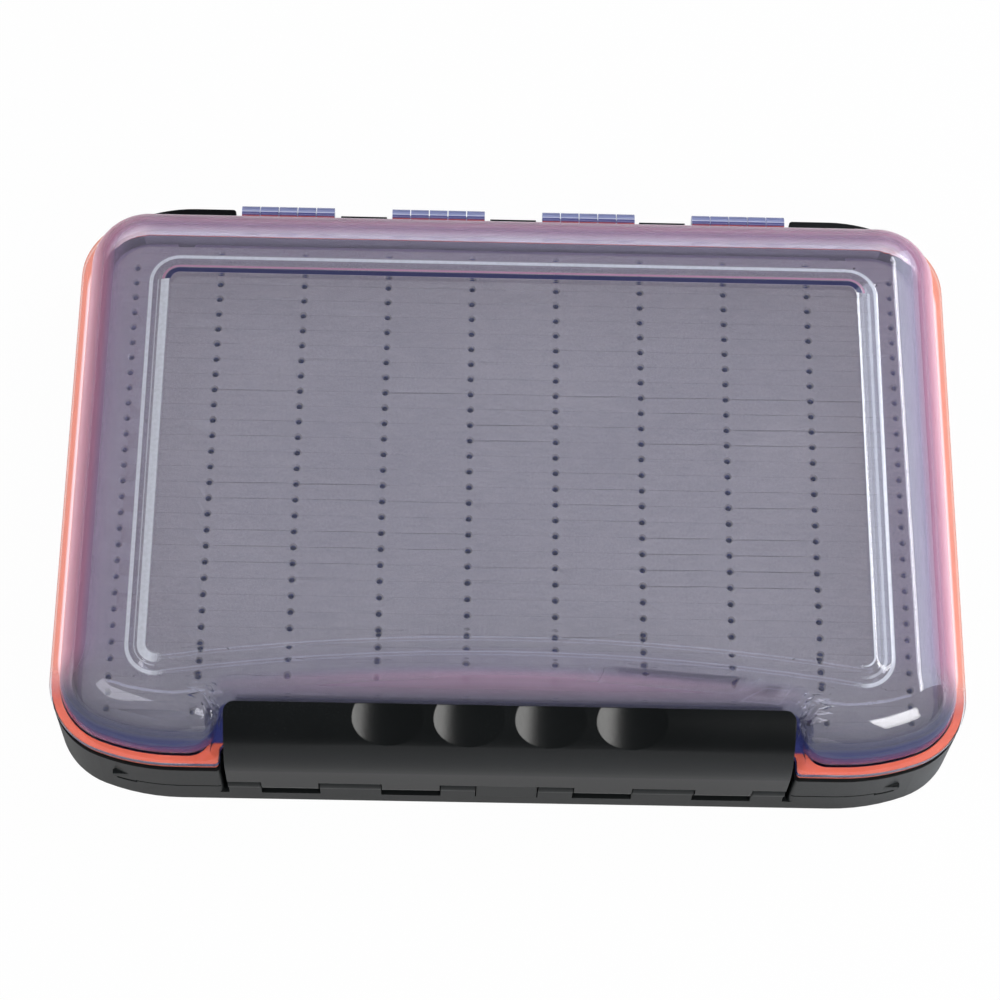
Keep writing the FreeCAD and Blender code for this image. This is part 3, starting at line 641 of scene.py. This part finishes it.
    def _front_share(self, level: Wire) -> Wire:
        """How much of the front wall carries the painted shade.

        Args:
            level: The height on the wall, 0 to 1.

        Returns:
            The share.
        """
        foot = (1.0 - level.eased(*self.foot_fade)) * self.foot_share
        whole = (1.0 - level.eased(*self.front_fade)) * self.front_share
        return (foot + whole) * level.eased(0.0, 0.02)

    def _inset(self, make: Surface) -> Wire:
        """How far a point lies inside the flange's outline, seen from above.

        Args:
            make: The material's maker.

        Returns:
            The distance, in metres.
        """
        half_wide, half_deep, corner = self.outline
        past = [(make.along(axis).size() - (half - corner)).most(0.0)
                for axis, half in (("X", half_wide), ("Y", half_deep))]
        reach = past[0] * past[0] + past[1] * past[1]
        return corner - reach.math("SQRT", reach)

    @staticmethod
    def _lines(height: Wire, lines: tuple) -> Wire:
        """The sum of painted highlight lines at set heights.

        Args:
            height: The height of a point.
            lines: Each line's window and share.

        Returns:
            The sum.
        """
        (first, first_share), (second, second_share) = lines
        return height.window(*first) * first_share + height.window(*second) * second_share

    def _paint_edge_light(self, make: Surface, share: Wire, colour: Wire) -> tuple[Wire, Wire]:
        """Paint highlights on the panel's edges and rose and dark blue reflection lines along its rear.

        Args:
            make: The material's maker.
            share: The painted layer's share so far.
            colour: Its colour so far.

        Returns:
            The share and the colour with the edges.
        """
        height, across = make.height(), make.along("X")
        side = across.size().eased(*self.side_edge)
        right, rear = across > 0.0, make.along("Y") > self.rear_edge
        brow = make.between(right, self._lines(height, self.brow_lines), self._lines(height, self.thin_lines))
        pinkish, deep = height.window(*self.pink_line), height.window(*self.navy_line)
        scale, least, more = self.highlight_noise
        # painted highlight lines along the panel's foot and top edges
        foot = height.window(*self.foot_line) * self.foot_line_share
        pale = foot + brow * side * (1.0 - rear) * self.brow_share
        pale = pale * (least + make.noise(scale, 2.0) * more)
        pale = pale * (side + rear).math("MINIMUM", side + rear, 1.0)
        # painted rose and dark blue reflection lines along the panel's rear edge
        stripe = rear * (pinkish + deep)
        # painted highlight colour above the panel's foot
        colour = make.blend(height > self.panel_foot, colour, self.glint)
        colour = make.blend(stripe, colour, make.blend(deep, self.painted_pink, self.painted_navy))
        return share.most(pale).most(stripe * self.stripe_share), colour


@dataclass(frozen=True)
class LeafPlastic(ClearPlastic):
    """The hinge leaves' plastic, an even hazy layer in the hinge's tint with painted light."""

    density: float = 60.0
    share: float = 0.66
    mottle: float = 0.12
    mottle_scale: float = 120.0

    def haze_and_painted_light(self, make: Surface) -> tuple[Wire, Wire, tuple]:
        """An even hazy layer in the hinge's tint with its painted reflection, painted shade line and painted
        highlight; no glow.

        Args:
            make: The material's maker.

        Returns:
            The share and the two colours.
        """
        # an even hazy layer in the hinge's tint with its painted light
        return self.share + make.noise(self.mottle_scale, 2.0) * self.mottle, HingeTintAndPaintedLight().colour(make), UNLIT


@dataclass(frozen=True)
class Foam:
    """Closed-cell foam, skived so that its face shows a brushed grain."""

    top: float = 24.0 * MM
    face: Face = Face.UP
    pale: tuple = (0.225, 0.213, 0.222)
    dark: tuple = (0.125, 0.122, 0.14)
    # painted shade colour for the holes and slits, reached over the depths below
    pit_shade: tuple = (0.028, 0.04, 0.15)
    pit_shade_depth: tuple = (0.35 * MM, 1.3 * MM)
    cell: float = 2400.0
    grain: float = 1500.0
    brush: float = 260.0
    brush_stretch: tuple = (0.7, 3.2, 1.0)
    cloud: float = 22.0
    tone: tuple = (1.1, 0.45, 0.35, -0.45)
    grain_height: float = 0.07 * MM
    roughness: float = 0.86

    def material(self, name: str) -> bpy.types.Material:
        """Build the material, with painted dark blue shade down the holes and slits.

        Args:
            name: The material's name.

        Returns:
            The material.
        """
        make = Surface(name)
        grain = make.noise(self.grain, 4.0)
        brushed = make.noise(self.brush, 4.0, self.brush_stretch)
        cloud = make.noise(self.cloud, 3.0)
        tone = grain * self.tone[0] + brushed * self.tone[1] + cloud * self.tone[2] + self.tone[3]
        body = make.blend(tone.eased(0.0, 1.0), self.dark, self.pale)
        away = make.height() - self.top if self.face is Face.DOWN else self.top - make.height()
        # painted shade: darker with depth below the pierced face, in the holes and slits
        colour = make.blend(away.eased(*self.pit_shade_depth), body, self.pit_shade)
        cells = make.wire("ShaderNodeTexVoronoi", None, {
            "Vector": make.place, "Scale": self.cell}, "Distance")
        normal = make.bump(cells * 0.7 + grain, self.grain_height, 0.7)
        rough = self.roughness + grain * 0.12
        shader = make.principled({
            "Base Color": colour, "Roughness": rough, "Normal": normal, "Specular IOR Level": 0.25})
        return make.finish(shader.outputs[0])


@dataclass(frozen=True)
class Rubber:
    """Soft coloured silicone rubber."""

    colour: tuple = (0.66, 0.095, 0.035)
    paler: tuple = (0.76, 0.15, 0.07)
    cloud: float = 60.0
    grain: float = 1800.0
    grain_height: float = 0.015 * MM
    edge: float = 0.3 * MM
    mottle: tuple = (0.5, 0.2)
    roughness: float = 0.42
    unevenness: tuple = (0.12, 0.06)

    def material(self, name: str) -> bpy.types.Material:
        """Build the material.

        Args:
            name: The material's name.

        Returns:
            The material.
        """
        make = Surface(name)
        cloud = make.noise(self.cloud, 3.0)
        fine = make.noise(self.grain, 2.0)
        mottled = cloud.eased(0.3, 0.8) * self.mottle[0] + fine * self.mottle[1]
        colour = make.blend(mottled, self.colour, self.paler)
        rough = self.roughness + cloud * self.unevenness[0] + fine * self.unevenness[1]
        normal = make.bump(fine, self.grain_height, 0.6, self.edge)
        shader = make.principled({"Base Color": colour, "Roughness": rough, "Normal": normal})
        return make.finish(shader.outputs[0])


@dataclass(frozen=True)
class Wirework:
    """Drawn stainless wire with fine lines along it."""

    colour: tuple = (0.58, 0.58, 0.6)
    line_scale: float = 3000.0
    line_height: float = 0.006 * MM
    roughness: float = 0.2

    def material(self, name: str) -> bpy.types.Material:
        """Build the material.

        Args:
            name: The material's name.

        Returns:
            The material.
        """
        make = Surface(name)
        drawn = make.noise(self.line_scale, 3.0, (0.02, 1.0, 1.0))
        colour = make.blend(drawn, self.colour, tuple(channel * 0.8 for channel in self.colour))
        normal = make.bump(drawn, self.line_height, 0.6)
        shader = make.principled({
            "Base Color": colour, "Roughness": self.roughness + drawn * 0.16, "Metallic": 1.0,
            "Normal": normal})
        return make.finish(shader.outputs[0])


def merged_copy(node: str, gap: float = 0.001 * MM, flat_angle: float = 0.05) -> bmesh.types.BMesh:
    """A CAD node's mesh with its loose triangles joined and flat ones merged.

    Args:
        node: The CAD node's name.
        gap: How far apart points may be to be joined, in metres.
        flat_angle: The angle under which faces count as one flat, in degrees.

    Returns:
        The joined mesh.
    """
    form = bmesh.new()
    form.from_mesh(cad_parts[node].data)
    bmesh.ops.remove_doubles(form, verts=form.verts, dist=gap)
    bmesh.ops.dissolve_limit(form, angle_limit=math.radians(flat_angle), verts=form.verts, edges=form.edges)
    return form


def new_piece(name: str, form: bmesh.types.BMesh) -> bpy.types.Object:
    """Turn a mesh under construction into an object at the origin.

    Args:
        name: The piece's name.
        form: The mesh, which is freed.

    Returns:
        The object, linked to the scene.
    """
    mesh = bpy.data.meshes.new(name)
    form.to_mesh(mesh)
    form.free()
    mesh.materials.clear()
    piece = bpy.data.objects.new(name, mesh)
    bpy.context.scene.collection.objects.link(piece)
    return piece


def bake_modifiers(piece: bpy.types.Object) -> None:
    """Turn what a piece's modifiers give into its own plain mesh.

    Args:
        piece: The piece.
    """
    bpy.context.view_layer.update()
    graph = bpy.context.evaluated_depsgraph_get()
    mesh = bpy.data.meshes.new_from_object(piece.evaluated_get(graph))
    piece.modifiers.clear()
    piece.data = mesh


def smooth_by_angle(piece: bpy.types.Object, degrees: float) -> None:
    """Shade a piece smooth where its faces meet at less than an angle.

    Args:
        piece: The piece.
        degrees: The angle.
    """
    piece.data.shade_smooth()
    piece.data.set_sharp_from_angle(angle=math.radians(degrees))


def even_normals(piece: bpy.types.Object) -> None:
    """Keep broad flat faces flat where they meet narrow rounded ones.

    Args:
        piece: The piece, already shaded smooth.
    """
    even = piece.modifiers.new("even", "WEIGHTED_NORMAL")
    even.keep_sharp = True
    even.weight = 100
    bake_modifiers(piece)


def dress_node(node: str, material: bpy.types.Material) -> None:
    """Give a CAD node a material.

    Args:
        node: The CAD node's name.
        material: The material.
    """
    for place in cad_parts[node].material_slots:
        place.material = material
    LOG.info("dressed %s with %s", node, material.name)


@dataclass(frozen=True)
class Lamp:
    """One soft lamp that looks at the box."""

    name: str
    place: tuple
    size: tuple
    power: float
    colour: tuple = (1.0, 1.0, 1.0)
    mirrored: bool = True

    def hang(self) -> None:
        """Hang the lamp; shiny surfaces show it only if it is mirrored."""
        lamp = bpy.data.lights.new(self.name, "AREA")
        lamp.shape = "RECTANGLE"
        lamp.size, lamp.size_y = self.size
        lamp.energy = self.power
        lamp.color = self.colour
        item = bpy.data.objects.new(self.name, lamp)
        item.visible_glossy = self.mirrored
        item.location = self.place
        item.rotation_euler = (-Vector(self.place)).to_track_quat("-Z", "Y").to_euler()
        bpy.context.scene.collection.objects.link(item)


@dataclass
class Studio:
    """The pale floor, the soft lamps and the camera."""

    floor_reach: float = 3.0
    floor_colour: tuple = (0.9, 0.9, 0.9)
    floor_shade: tuple = (0.88, 0.88, 0.88)
    white: tuple = (1.0, 1.0, 1.0, 1.0)
    fill: float = 0.10
    lamps: tuple = (
        Lamp("key", (0.66, -0.82, 0.72), (0.45, 0.45), 5.0, (1.0, 0.99, 0.97)),
        Lamp("front", (-0.80, -0.55, 1.30), (0.8, 0.6), 7.0, mirrored=False),
        Lamp("above", (0.0, -0.17, 1.50), (1.5, 0.16), 1.0, (0.72, 0.78, 1.0)),
        Lamp("right", (0.85, 0.46, 0.55), (0.85, 0.8), 5.0, (0.76, 0.86, 1.0)),
        Lamp("strip", (0.641, 0.347, 0.966), (0.85, 0.10), 2.4, (0.97, 0.98, 1.0)),
    )
    camera_place: tuple = (-0.0182588, -0.3491555, 0.7780132)
    camera_turn: tuple = (24.544795, -1.425086, 0.582108)
    lens: float = 103.32
    sensor: float = 36.0

    def build(self) -> None:
        """Make everything that isn't part of the box."""
        self._set_world()
        self._lay_floor()
        for lamp in self.lamps:
            lamp.hang()
        self._set_camera()
        bpy.context.scene.view_settings.view_transform = "Standard"

    @staticmethod
    def _seen(make: NodeMaker) -> Wire:
        """1 where the camera looks straight at a surface or through a clear piece."""
        path = make.node("ShaderNodeLightPath")
        return Wire(make, path.outputs["Is Camera Ray"]).most(path.outputs["Is Transmission Ray"])

    def _set_world(self) -> None:
        """Light the scene softly and show white to the camera and through clear pieces."""
        world = bpy.data.worlds.new("studio")
        world.use_nodes = True
        bpy.context.scene.world = world
        make = NodeMaker(world.node_tree)
        strength = self._seen(make) * (Strength.WALL.value - self.fill) + self.fill
        ground = make.node("ShaderNodeBackground", None, {"Color": self.white, "Strength": strength})
        make.node("ShaderNodeOutputWorld", None, {"Surface": ground.outputs[0]})

    def _lay_floor(self) -> None:
        """Lay the pale floor that the box stands on."""
        form = bmesh.new()
        bmesh.ops.create_grid(form, x_segments=2, y_segments=2, size=self.floor_reach)
        floor = new_piece("floor", form)
        make = Surface("floor")
        cloud = make.noise(3.0, 2.0)
        matt = make.node("ShaderNodeBsdfDiffuse", None, {
            "Color": make.blend(cloud * 0.3, self.floor_colour, self.floor_shade)})
        shown = make.node("ShaderNodeEmission", None, {"Color": self.white, "Strength": 1.0})
        mixed = make.node("ShaderNodeMixShader", None, {
            0: self._seen(make) * Strength.FLOOR.value, 1: matt.outputs[0], 2: shown.outputs[0]})
        floor.data.materials.append(make.finish(mixed.outputs[0]))

    def _set_camera(self) -> None:
        """Stand the camera where the photograph was taken from."""
        lens = bpy.data.cameras.new("view")
        lens.lens = self.lens
        lens.sensor_width = self.sensor
        camera = bpy.data.objects.new("view", lens)
        camera.location = self.camera_place
        camera.rotation_euler = tuple(math.radians(angle) for angle in self.camera_turn)
        bpy.context.scene.collection.objects.link(camera)
        bpy.context.scene.camera = camera


@dataclass
class ClearLid:
    """The lid, its panel's edges softened as moulded ones are."""

    node: str = "lid_shell"
    body: str = "lid"
    slot: str = "clear_lid"
    levels: tuple = (48.0, 46.4, 45.8, 44.2)
    panel_front: float = -63.0
    panel_bow: float = 3.8
    bow_half: float = 76.0
    edge_radius: float = 1.2
    edge_steps: int = 4
    least_fold: float = 4.0
    level_slack: float = 0.01
    sharp_angle: float = 35.0
    finish: LidPlastic = LidPlastic()

    def build(self) -> bpy.types.Object:
        """Make the lid's piece.

        Returns:
            The piece, dressed and riding with the lid.
        """
        form = merged_copy(self.node)
        weights = form.edges.layers.float.new("bevel_weight_edge")
        for edge in form.edges:
            if self._edges_the_panel(edge):
                edge[weights] = 1.0
        piece = new_piece("lid", form)
        soft = piece.modifiers.new("soft", "BEVEL")
        soft.limit_method = "WEIGHT"
        soft.offset_type = "OFFSET"
        soft.width = self.edge_radius * MM
        soft.segments = self.edge_steps
        soft.use_clamp_overlap = False
        bake_modifiers(piece)
        smooth_by_angle(piece, self.sharp_angle)
        even_normals(piece)
        piece.data.materials.append(self.finish.material(self.slot))
        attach(piece, self.body)
        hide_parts(self.node)
        LOG.info("%s: %d faces", piece.name, len(piece.data.polygons))
        return piece

    def _edges_the_panel(self, edge: bmesh.types.BMEdge) -> bool:
        """Whether an edge of the lid runs round the raised panel, at its foot or its top.

        Args:
            edge: The edge.

        Returns:
            True for an edge of the panel.
        """
        if len(edge.link_faces) != 2 or edge.calc_face_angle(0.0) < math.radians(self.least_fold):
            return False
        ends = [v.co.z / MM for v in edge.verts]
        if not any(all(abs(end - level) < self.level_slack for end in ends) for level in self.levels):
            return False
        middle = (edge.verts[0].co + edge.verts[1].co) / (2 * MM)
        return middle.y > self.panel_front - self.panel_bow * (middle.x / self.bow_half) ** 2


@dataclass
class Gasket:
    """The rubber ring, its top just clear of the flange."""

    node: str = "lid_gasket"
    squeeze: float = 0.04
    crown: float = 0.1
    sharp_angle: float = 40.0
    finish: Rubber = Rubber()

    def build(self) -> bpy.types.Object:
        """Make the gasket's piece.

        Returns:
            The piece, dressed and riding with the base.
        """
        form = merged_copy(self.node)
        top = max(v.co.z for v in form.verts)
        for v in form.verts:
            if v.co.z > top - self.crown * MM:
                v.co.z -= self.squeeze * MM
        piece = new_piece("gasket", form)
        smooth_by_angle(piece, self.sharp_angle)
        piece.data.materials.append(self.finish.material("orange_rubber"))
        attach(piece, "base")
        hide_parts(self.node)
        LOG.info("%s: %d faces", piece.name, len(piece.data.polygons))
        return piece


@dataclass
class PiercingTree:
    """The Geometry Nodes tree that pierces and slits a foam sheet."""

    sides: int = 14
    cast_from: float = 50.0
    rim_overlap: float = 0.98

    def build(self) -> bpy.types.NodeTree:
        """Make the tree.

        Returns:
            The tree, with named inputs for its sizes.
        """
        tree = bpy.data.node_groups.new("pierced_foam", "GeometryNodeTree")
        face = tree.interface
        face.new_socket("Geometry", in_out="OUTPUT", socket_type="NodeSocketGeometry")
        face.new_socket("Geometry", in_out="INPUT", socket_type="NodeSocketGeometry")
        for name in ("Columns", "Rows"):
            face.new_socket(name, in_out="INPUT", socket_type="NodeSocketInt")
        for name in ("Column Pitch", "Row Pitch", "Hole Radius", "Hole Depth", "Rim Radius", "Rim Depth",
                     "Slit Width", "Slit Depth", "Edge Margin", "Turn"):
            face.new_socket(name, in_out="INPUT", socket_type="NodeSocketFloat")
        face.new_socket("Middle", in_out="INPUT", socket_type="NodeSocketVector")
        face.new_socket("Material", in_out="INPUT", socket_type="NodeSocketMaterial")
        make = NodeMaker(tree)
        sizes = make.node("NodeGroupInput").outputs
        sheet = sizes["Geometry"]
        wide = (Wire(make, sizes["Columns"]) - 1.0) * sizes["Column Pitch"]
        long = (Wire(make, sizes["Rows"]) - 1.0) * sizes["Row Pitch"]
        spots = self._spots(make, sizes, (wide, long), sheet)
        cutters = [
            self._repeat(make, spots, self._hole(make, sizes)),
            self._repeat(make, spots, self._rim(make, sizes)),
            self._slits(make, sizes, wide, long),
        ]
        for cutter in cutters:
            sheet = make.node("GeometryNodeMeshBoolean", {"operation": "DIFFERENCE", "solver": "MANIFOLD"}, {
                "Mesh 1": sheet, "Mesh 2": cutter}).outputs["Mesh"]
        real = make.node("GeometryNodeRealizeInstances", None, {"Geometry": sheet})
        dressed = make.node("GeometryNodeSetMaterial", None, {
            "Geometry": real.outputs[0], "Material": sizes["Material"]})
        make.node("NodeGroupOutput", None, {"Geometry": dressed.outputs[0]})
        return tree

    def _spots(self, make: NodeMaker, sizes: Any, reach: tuple[Wire, Wire], sheet: Any) -> Any:
        """Where the holes go: a grid, less what falls off the sheet or near its edge.

        Args:
            make: The tree's maker.
            sizes: The tree's inputs.
            reach: The grid's width and length.
            sheet: The sheet.

        Returns:
            The points.
        """
        grid = make.node("GeometryNodeMeshGrid", None, {
            "Size X": reach[0], "Size Y": reach[1],
            "Vertices X": sizes["Columns"], "Vertices Y": sizes["Rows"]})
        placed = make.node("GeometryNodeTransform", None, {
            "Geometry": grid.outputs["Mesh"], "Translation": sizes["Middle"]})
        points = make.node("GeometryNodeMeshToPoints", None, {"Mesh": placed.outputs[0]})
        normal = make.node("GeometryNodeInputNormal")
        upward = make.node("ShaderNodeSeparateXYZ", None, {0: normal.outputs[0]})
        flat = Wire(make, upward.outputs["Z"]).size() > 0.5
        walls = make.node("GeometryNodeDeleteGeometry", {"domain": "FACE"}, {
            "Geometry": sheet, "Selection": flat})
        near = make.wire("GeometryNodeProximity", {"target_element": "FACES"}, {
            "Geometry": walls.outputs[0]}, "Distance")
        here = make.node("GeometryNodeInputPosition")
        above = make.node("ShaderNodeVectorMath", {"operation": "ADD"}, {
            0: here.outputs[0], 1: (0.0, 0.0, self.cast_from * MM)})
        hit = make.node("GeometryNodeRaycast", None, {
            "Target Geometry": sheet, "Source Position": above.outputs[0],
            "Ray Direction": (0.0, 0.0, -1.0), "Ray Length": 1.0})
        held = Wire(make, hit.outputs["Is Hit"]) * (near > sizes["Edge Margin"])
        kept = make.node("GeometryNodeDeleteGeometry", {"domain": "POINT"}, {
            "Geometry": points.outputs[0], "Selection": 1.0 - held})
        return kept.outputs[0]

    def _hole(self, make: NodeMaker, sizes: Any) -> Any:
        """The cutter of a hole's straight part, half of it clear of the sheet."""
        deep = Wire(make, sizes["Hole Depth"]) * 2.0
        return make.node("GeometryNodeMeshCylinder", None, {
            "Vertices": self.sides, "Radius": sizes["Hole Radius"], "Depth": deep}).outputs["Mesh"]

    def _rim(self, make: NodeMaker, sizes: Any) -> Any:
        """The cutter of a hole's flared rim, turned to the pierced face."""
        cone = make.node("GeometryNodeMeshCone", None, {
            "Vertices": self.sides, "Radius Top": sizes["Rim Radius"], "Radius Bottom": sizes["Hole Radius"],
            "Depth": sizes["Rim Depth"]})
        low = Wire(make, sizes["Rim Depth"]) * -self.rim_overlap
        lift = make.node("ShaderNodeCombineXYZ", None, {"Z": low})
        set_low = make.node("GeometryNodeTransform", None, {
            "Geometry": cone.outputs["Mesh"], "Translation": lift.outputs[0]})
        turn = make.node("ShaderNodeCombineXYZ", None, {"X": sizes["Turn"]})
        return make.node("GeometryNodeTransform", None, {
            "Geometry": set_low.outputs[0], "Rotation": turn.outputs[0]}).outputs[0]

    @staticmethod
    def _repeat(make: NodeMaker, points: Any, form: Any) -> Any:
        """Copies of a form on points."""
        copies = make.node("GeometryNodeInstanceOnPoints", None, {"Points": points, "Instance": form})
        return make.node("GeometryNodeRealizeInstances", None, {"Geometry": copies.outputs[0]}).outputs[0]

    def _slits(self, make: NodeMaker, sizes: Any, wide: Wire, long: Wire) -> Any:
        """The thin blades that slit the sheet along each row.

        Args:
            make: The tree's maker.
            sizes: The tree's inputs.
            wide: The slits' length.
            long: The distance from the first slit to the last.

        Returns:
            The blades.
        """
        start = make.node("ShaderNodeCombineXYZ", None, {"Y": long * -0.5})
        first = make.node("ShaderNodeVectorMath", {"operation": "ADD"}, {
            0: start.outputs[0], 1: sizes["Middle"]})
        step = make.node("ShaderNodeCombineXYZ", None, {"Y": sizes["Row Pitch"]})
        line = make.node("GeometryNodeMeshLine", None, {
            "Count": sizes["Rows"], "Start Location": first.outputs[0], "Offset": step.outputs[0]})
        deep = Wire(make, sizes["Slit Depth"]) * 2.0
        blade_size = make.node("ShaderNodeCombineXYZ", None, {
            "X": wide, "Y": sizes["Slit Width"], "Z": deep})
        blade = make.node("GeometryNodeMeshCube", None, {"Size": blade_size.outputs[0]})
        return self._repeat(make, line.outputs[0], blade.outputs["Mesh"])


@dataclass
class FoamSheet:
    """One pierced and slit foam sheet."""

    node: str
    body: str
    face_level: float
    face: Face = Face.UP
    columns: int = 10
    rows: int = 30
    column_pitch: float = 25.0
    row_pitch: float = 5.0
    middle: tuple = (0.45, 1.5)
    hole_radius: float = 0.85
    hole_depth: float = 3.0
    rim_radius: float = 1.25
    rim_depth: float = 0.45
    slit_width: float = 0.05
    slit_depth: float = 2.6
    edge_margin: float = 1.6
    sharp_angle: float = 30.0

    def build(self, tree: bpy.types.NodeTree) -> bpy.types.Object:
        """Make the sheet's piece.

        Args:
            tree: The tree that pierces it.

        Returns:
            The piece, dressed and riding with its body.
        """
        material = Foam(top=self.face_level * MM, face=self.face).material(self.node + "_foam")
        piece = new_piece(self.node.replace("_foam", "_slit_foam"), merged_copy(self.node))
        self._pierce(piece, tree, material)
        bake_modifiers(piece)
        smooth_by_angle(piece, self.sharp_angle)
        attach(piece, self.body)
        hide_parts(self.node)
        LOG.info("%s: %d faces", piece.name, len(piece.data.polygons))
        return piece

    def _pierce(self, piece: bpy.types.Object, tree: bpy.types.NodeTree,
                material: bpy.types.Material) -> None:
        """Add the modifier that pierces the sheet and set its inputs.

        Args:
            piece: The sheet.
            tree: The tree.
            material: The sheet's material.
        """
        values = {
            "Columns": self.columns, "Rows": self.rows,
            "Column Pitch": self.column_pitch * MM, "Row Pitch": self.row_pitch * MM,
            "Hole Radius": self.hole_radius * MM, "Hole Depth": self.hole_depth * MM,
            "Rim Radius": self.rim_radius * MM, "Rim Depth": self.rim_depth * MM,
            "Slit Width": self.slit_width * MM, "Slit Depth": self.slit_depth * MM,
            "Edge Margin": self.edge_margin * MM, "Turn": self.face.value,
            "Middle": (self.middle[0] * MM, self.middle[1] * MM, self.face_level * MM),
            "Material": material,
        }
        modifier = piece.modifiers.new("pierced", "NODES")
        modifier.node_group = tree
        for item in tree.interface.items_tree:
            if item.in_out == "INPUT" and item.name in values:
                modifier[item.identifier] = values[item.name]


@dataclass
class DressedNodes:
    """The CAD pieces whose shapes are right as they are."""

    black_shell: tuple = ("base_shell", "latch_pin_clip")
    black_latch: tuple = ("latch_bar",)
    smoke_page: tuple = ("page_frame",)
    clear_hinge: tuple = tuple("hinge_leaf_%d" % (index + 1) for index in range(4))
    steel: tuple = tuple("hinge_pin_%d" % (index + 1) for index in range(4)) + (
        "latch_pin_left", "latch_pin_right", "page_pin_left", "page_pin_right")

    def build(self) -> None:
        """Give each of them its finish."""
        finishes = (
            (self.black_shell, ShellPlastic(), "black_shell"),
            (self.black_latch, LatchPlastic(), "black_latch"),
            (self.smoke_page, PagePlastic(), "smoke_page"),
            (self.clear_hinge, LeafPlastic(), "clear_hinge"),
            (self.steel, Wirework(), "steel_pin"),
        )
        for nodes, finish, name in finishes:
            material = finish.material(name)
            for node in nodes:
                dress_node(node, material)


def main() -> None:
    """Build the studio and dress every piece of the box."""
    logging.basicConfig(level=logging.INFO, format="%(message)s")
    Studio().build()
    DressedNodes().build()
    ClearLid().build()
    Gasket().build()
    tree = PiercingTree().build()
    FoamSheet("page_foam_top", "page", 24.0).build(tree)
    FoamSheet("page_foam_bottom", "page", 14.4, Face.DOWN).build(tree)
    FoamSheet("base_foam", "base", 6.4).build(tree)


if __name__ == "__main__":
    main()
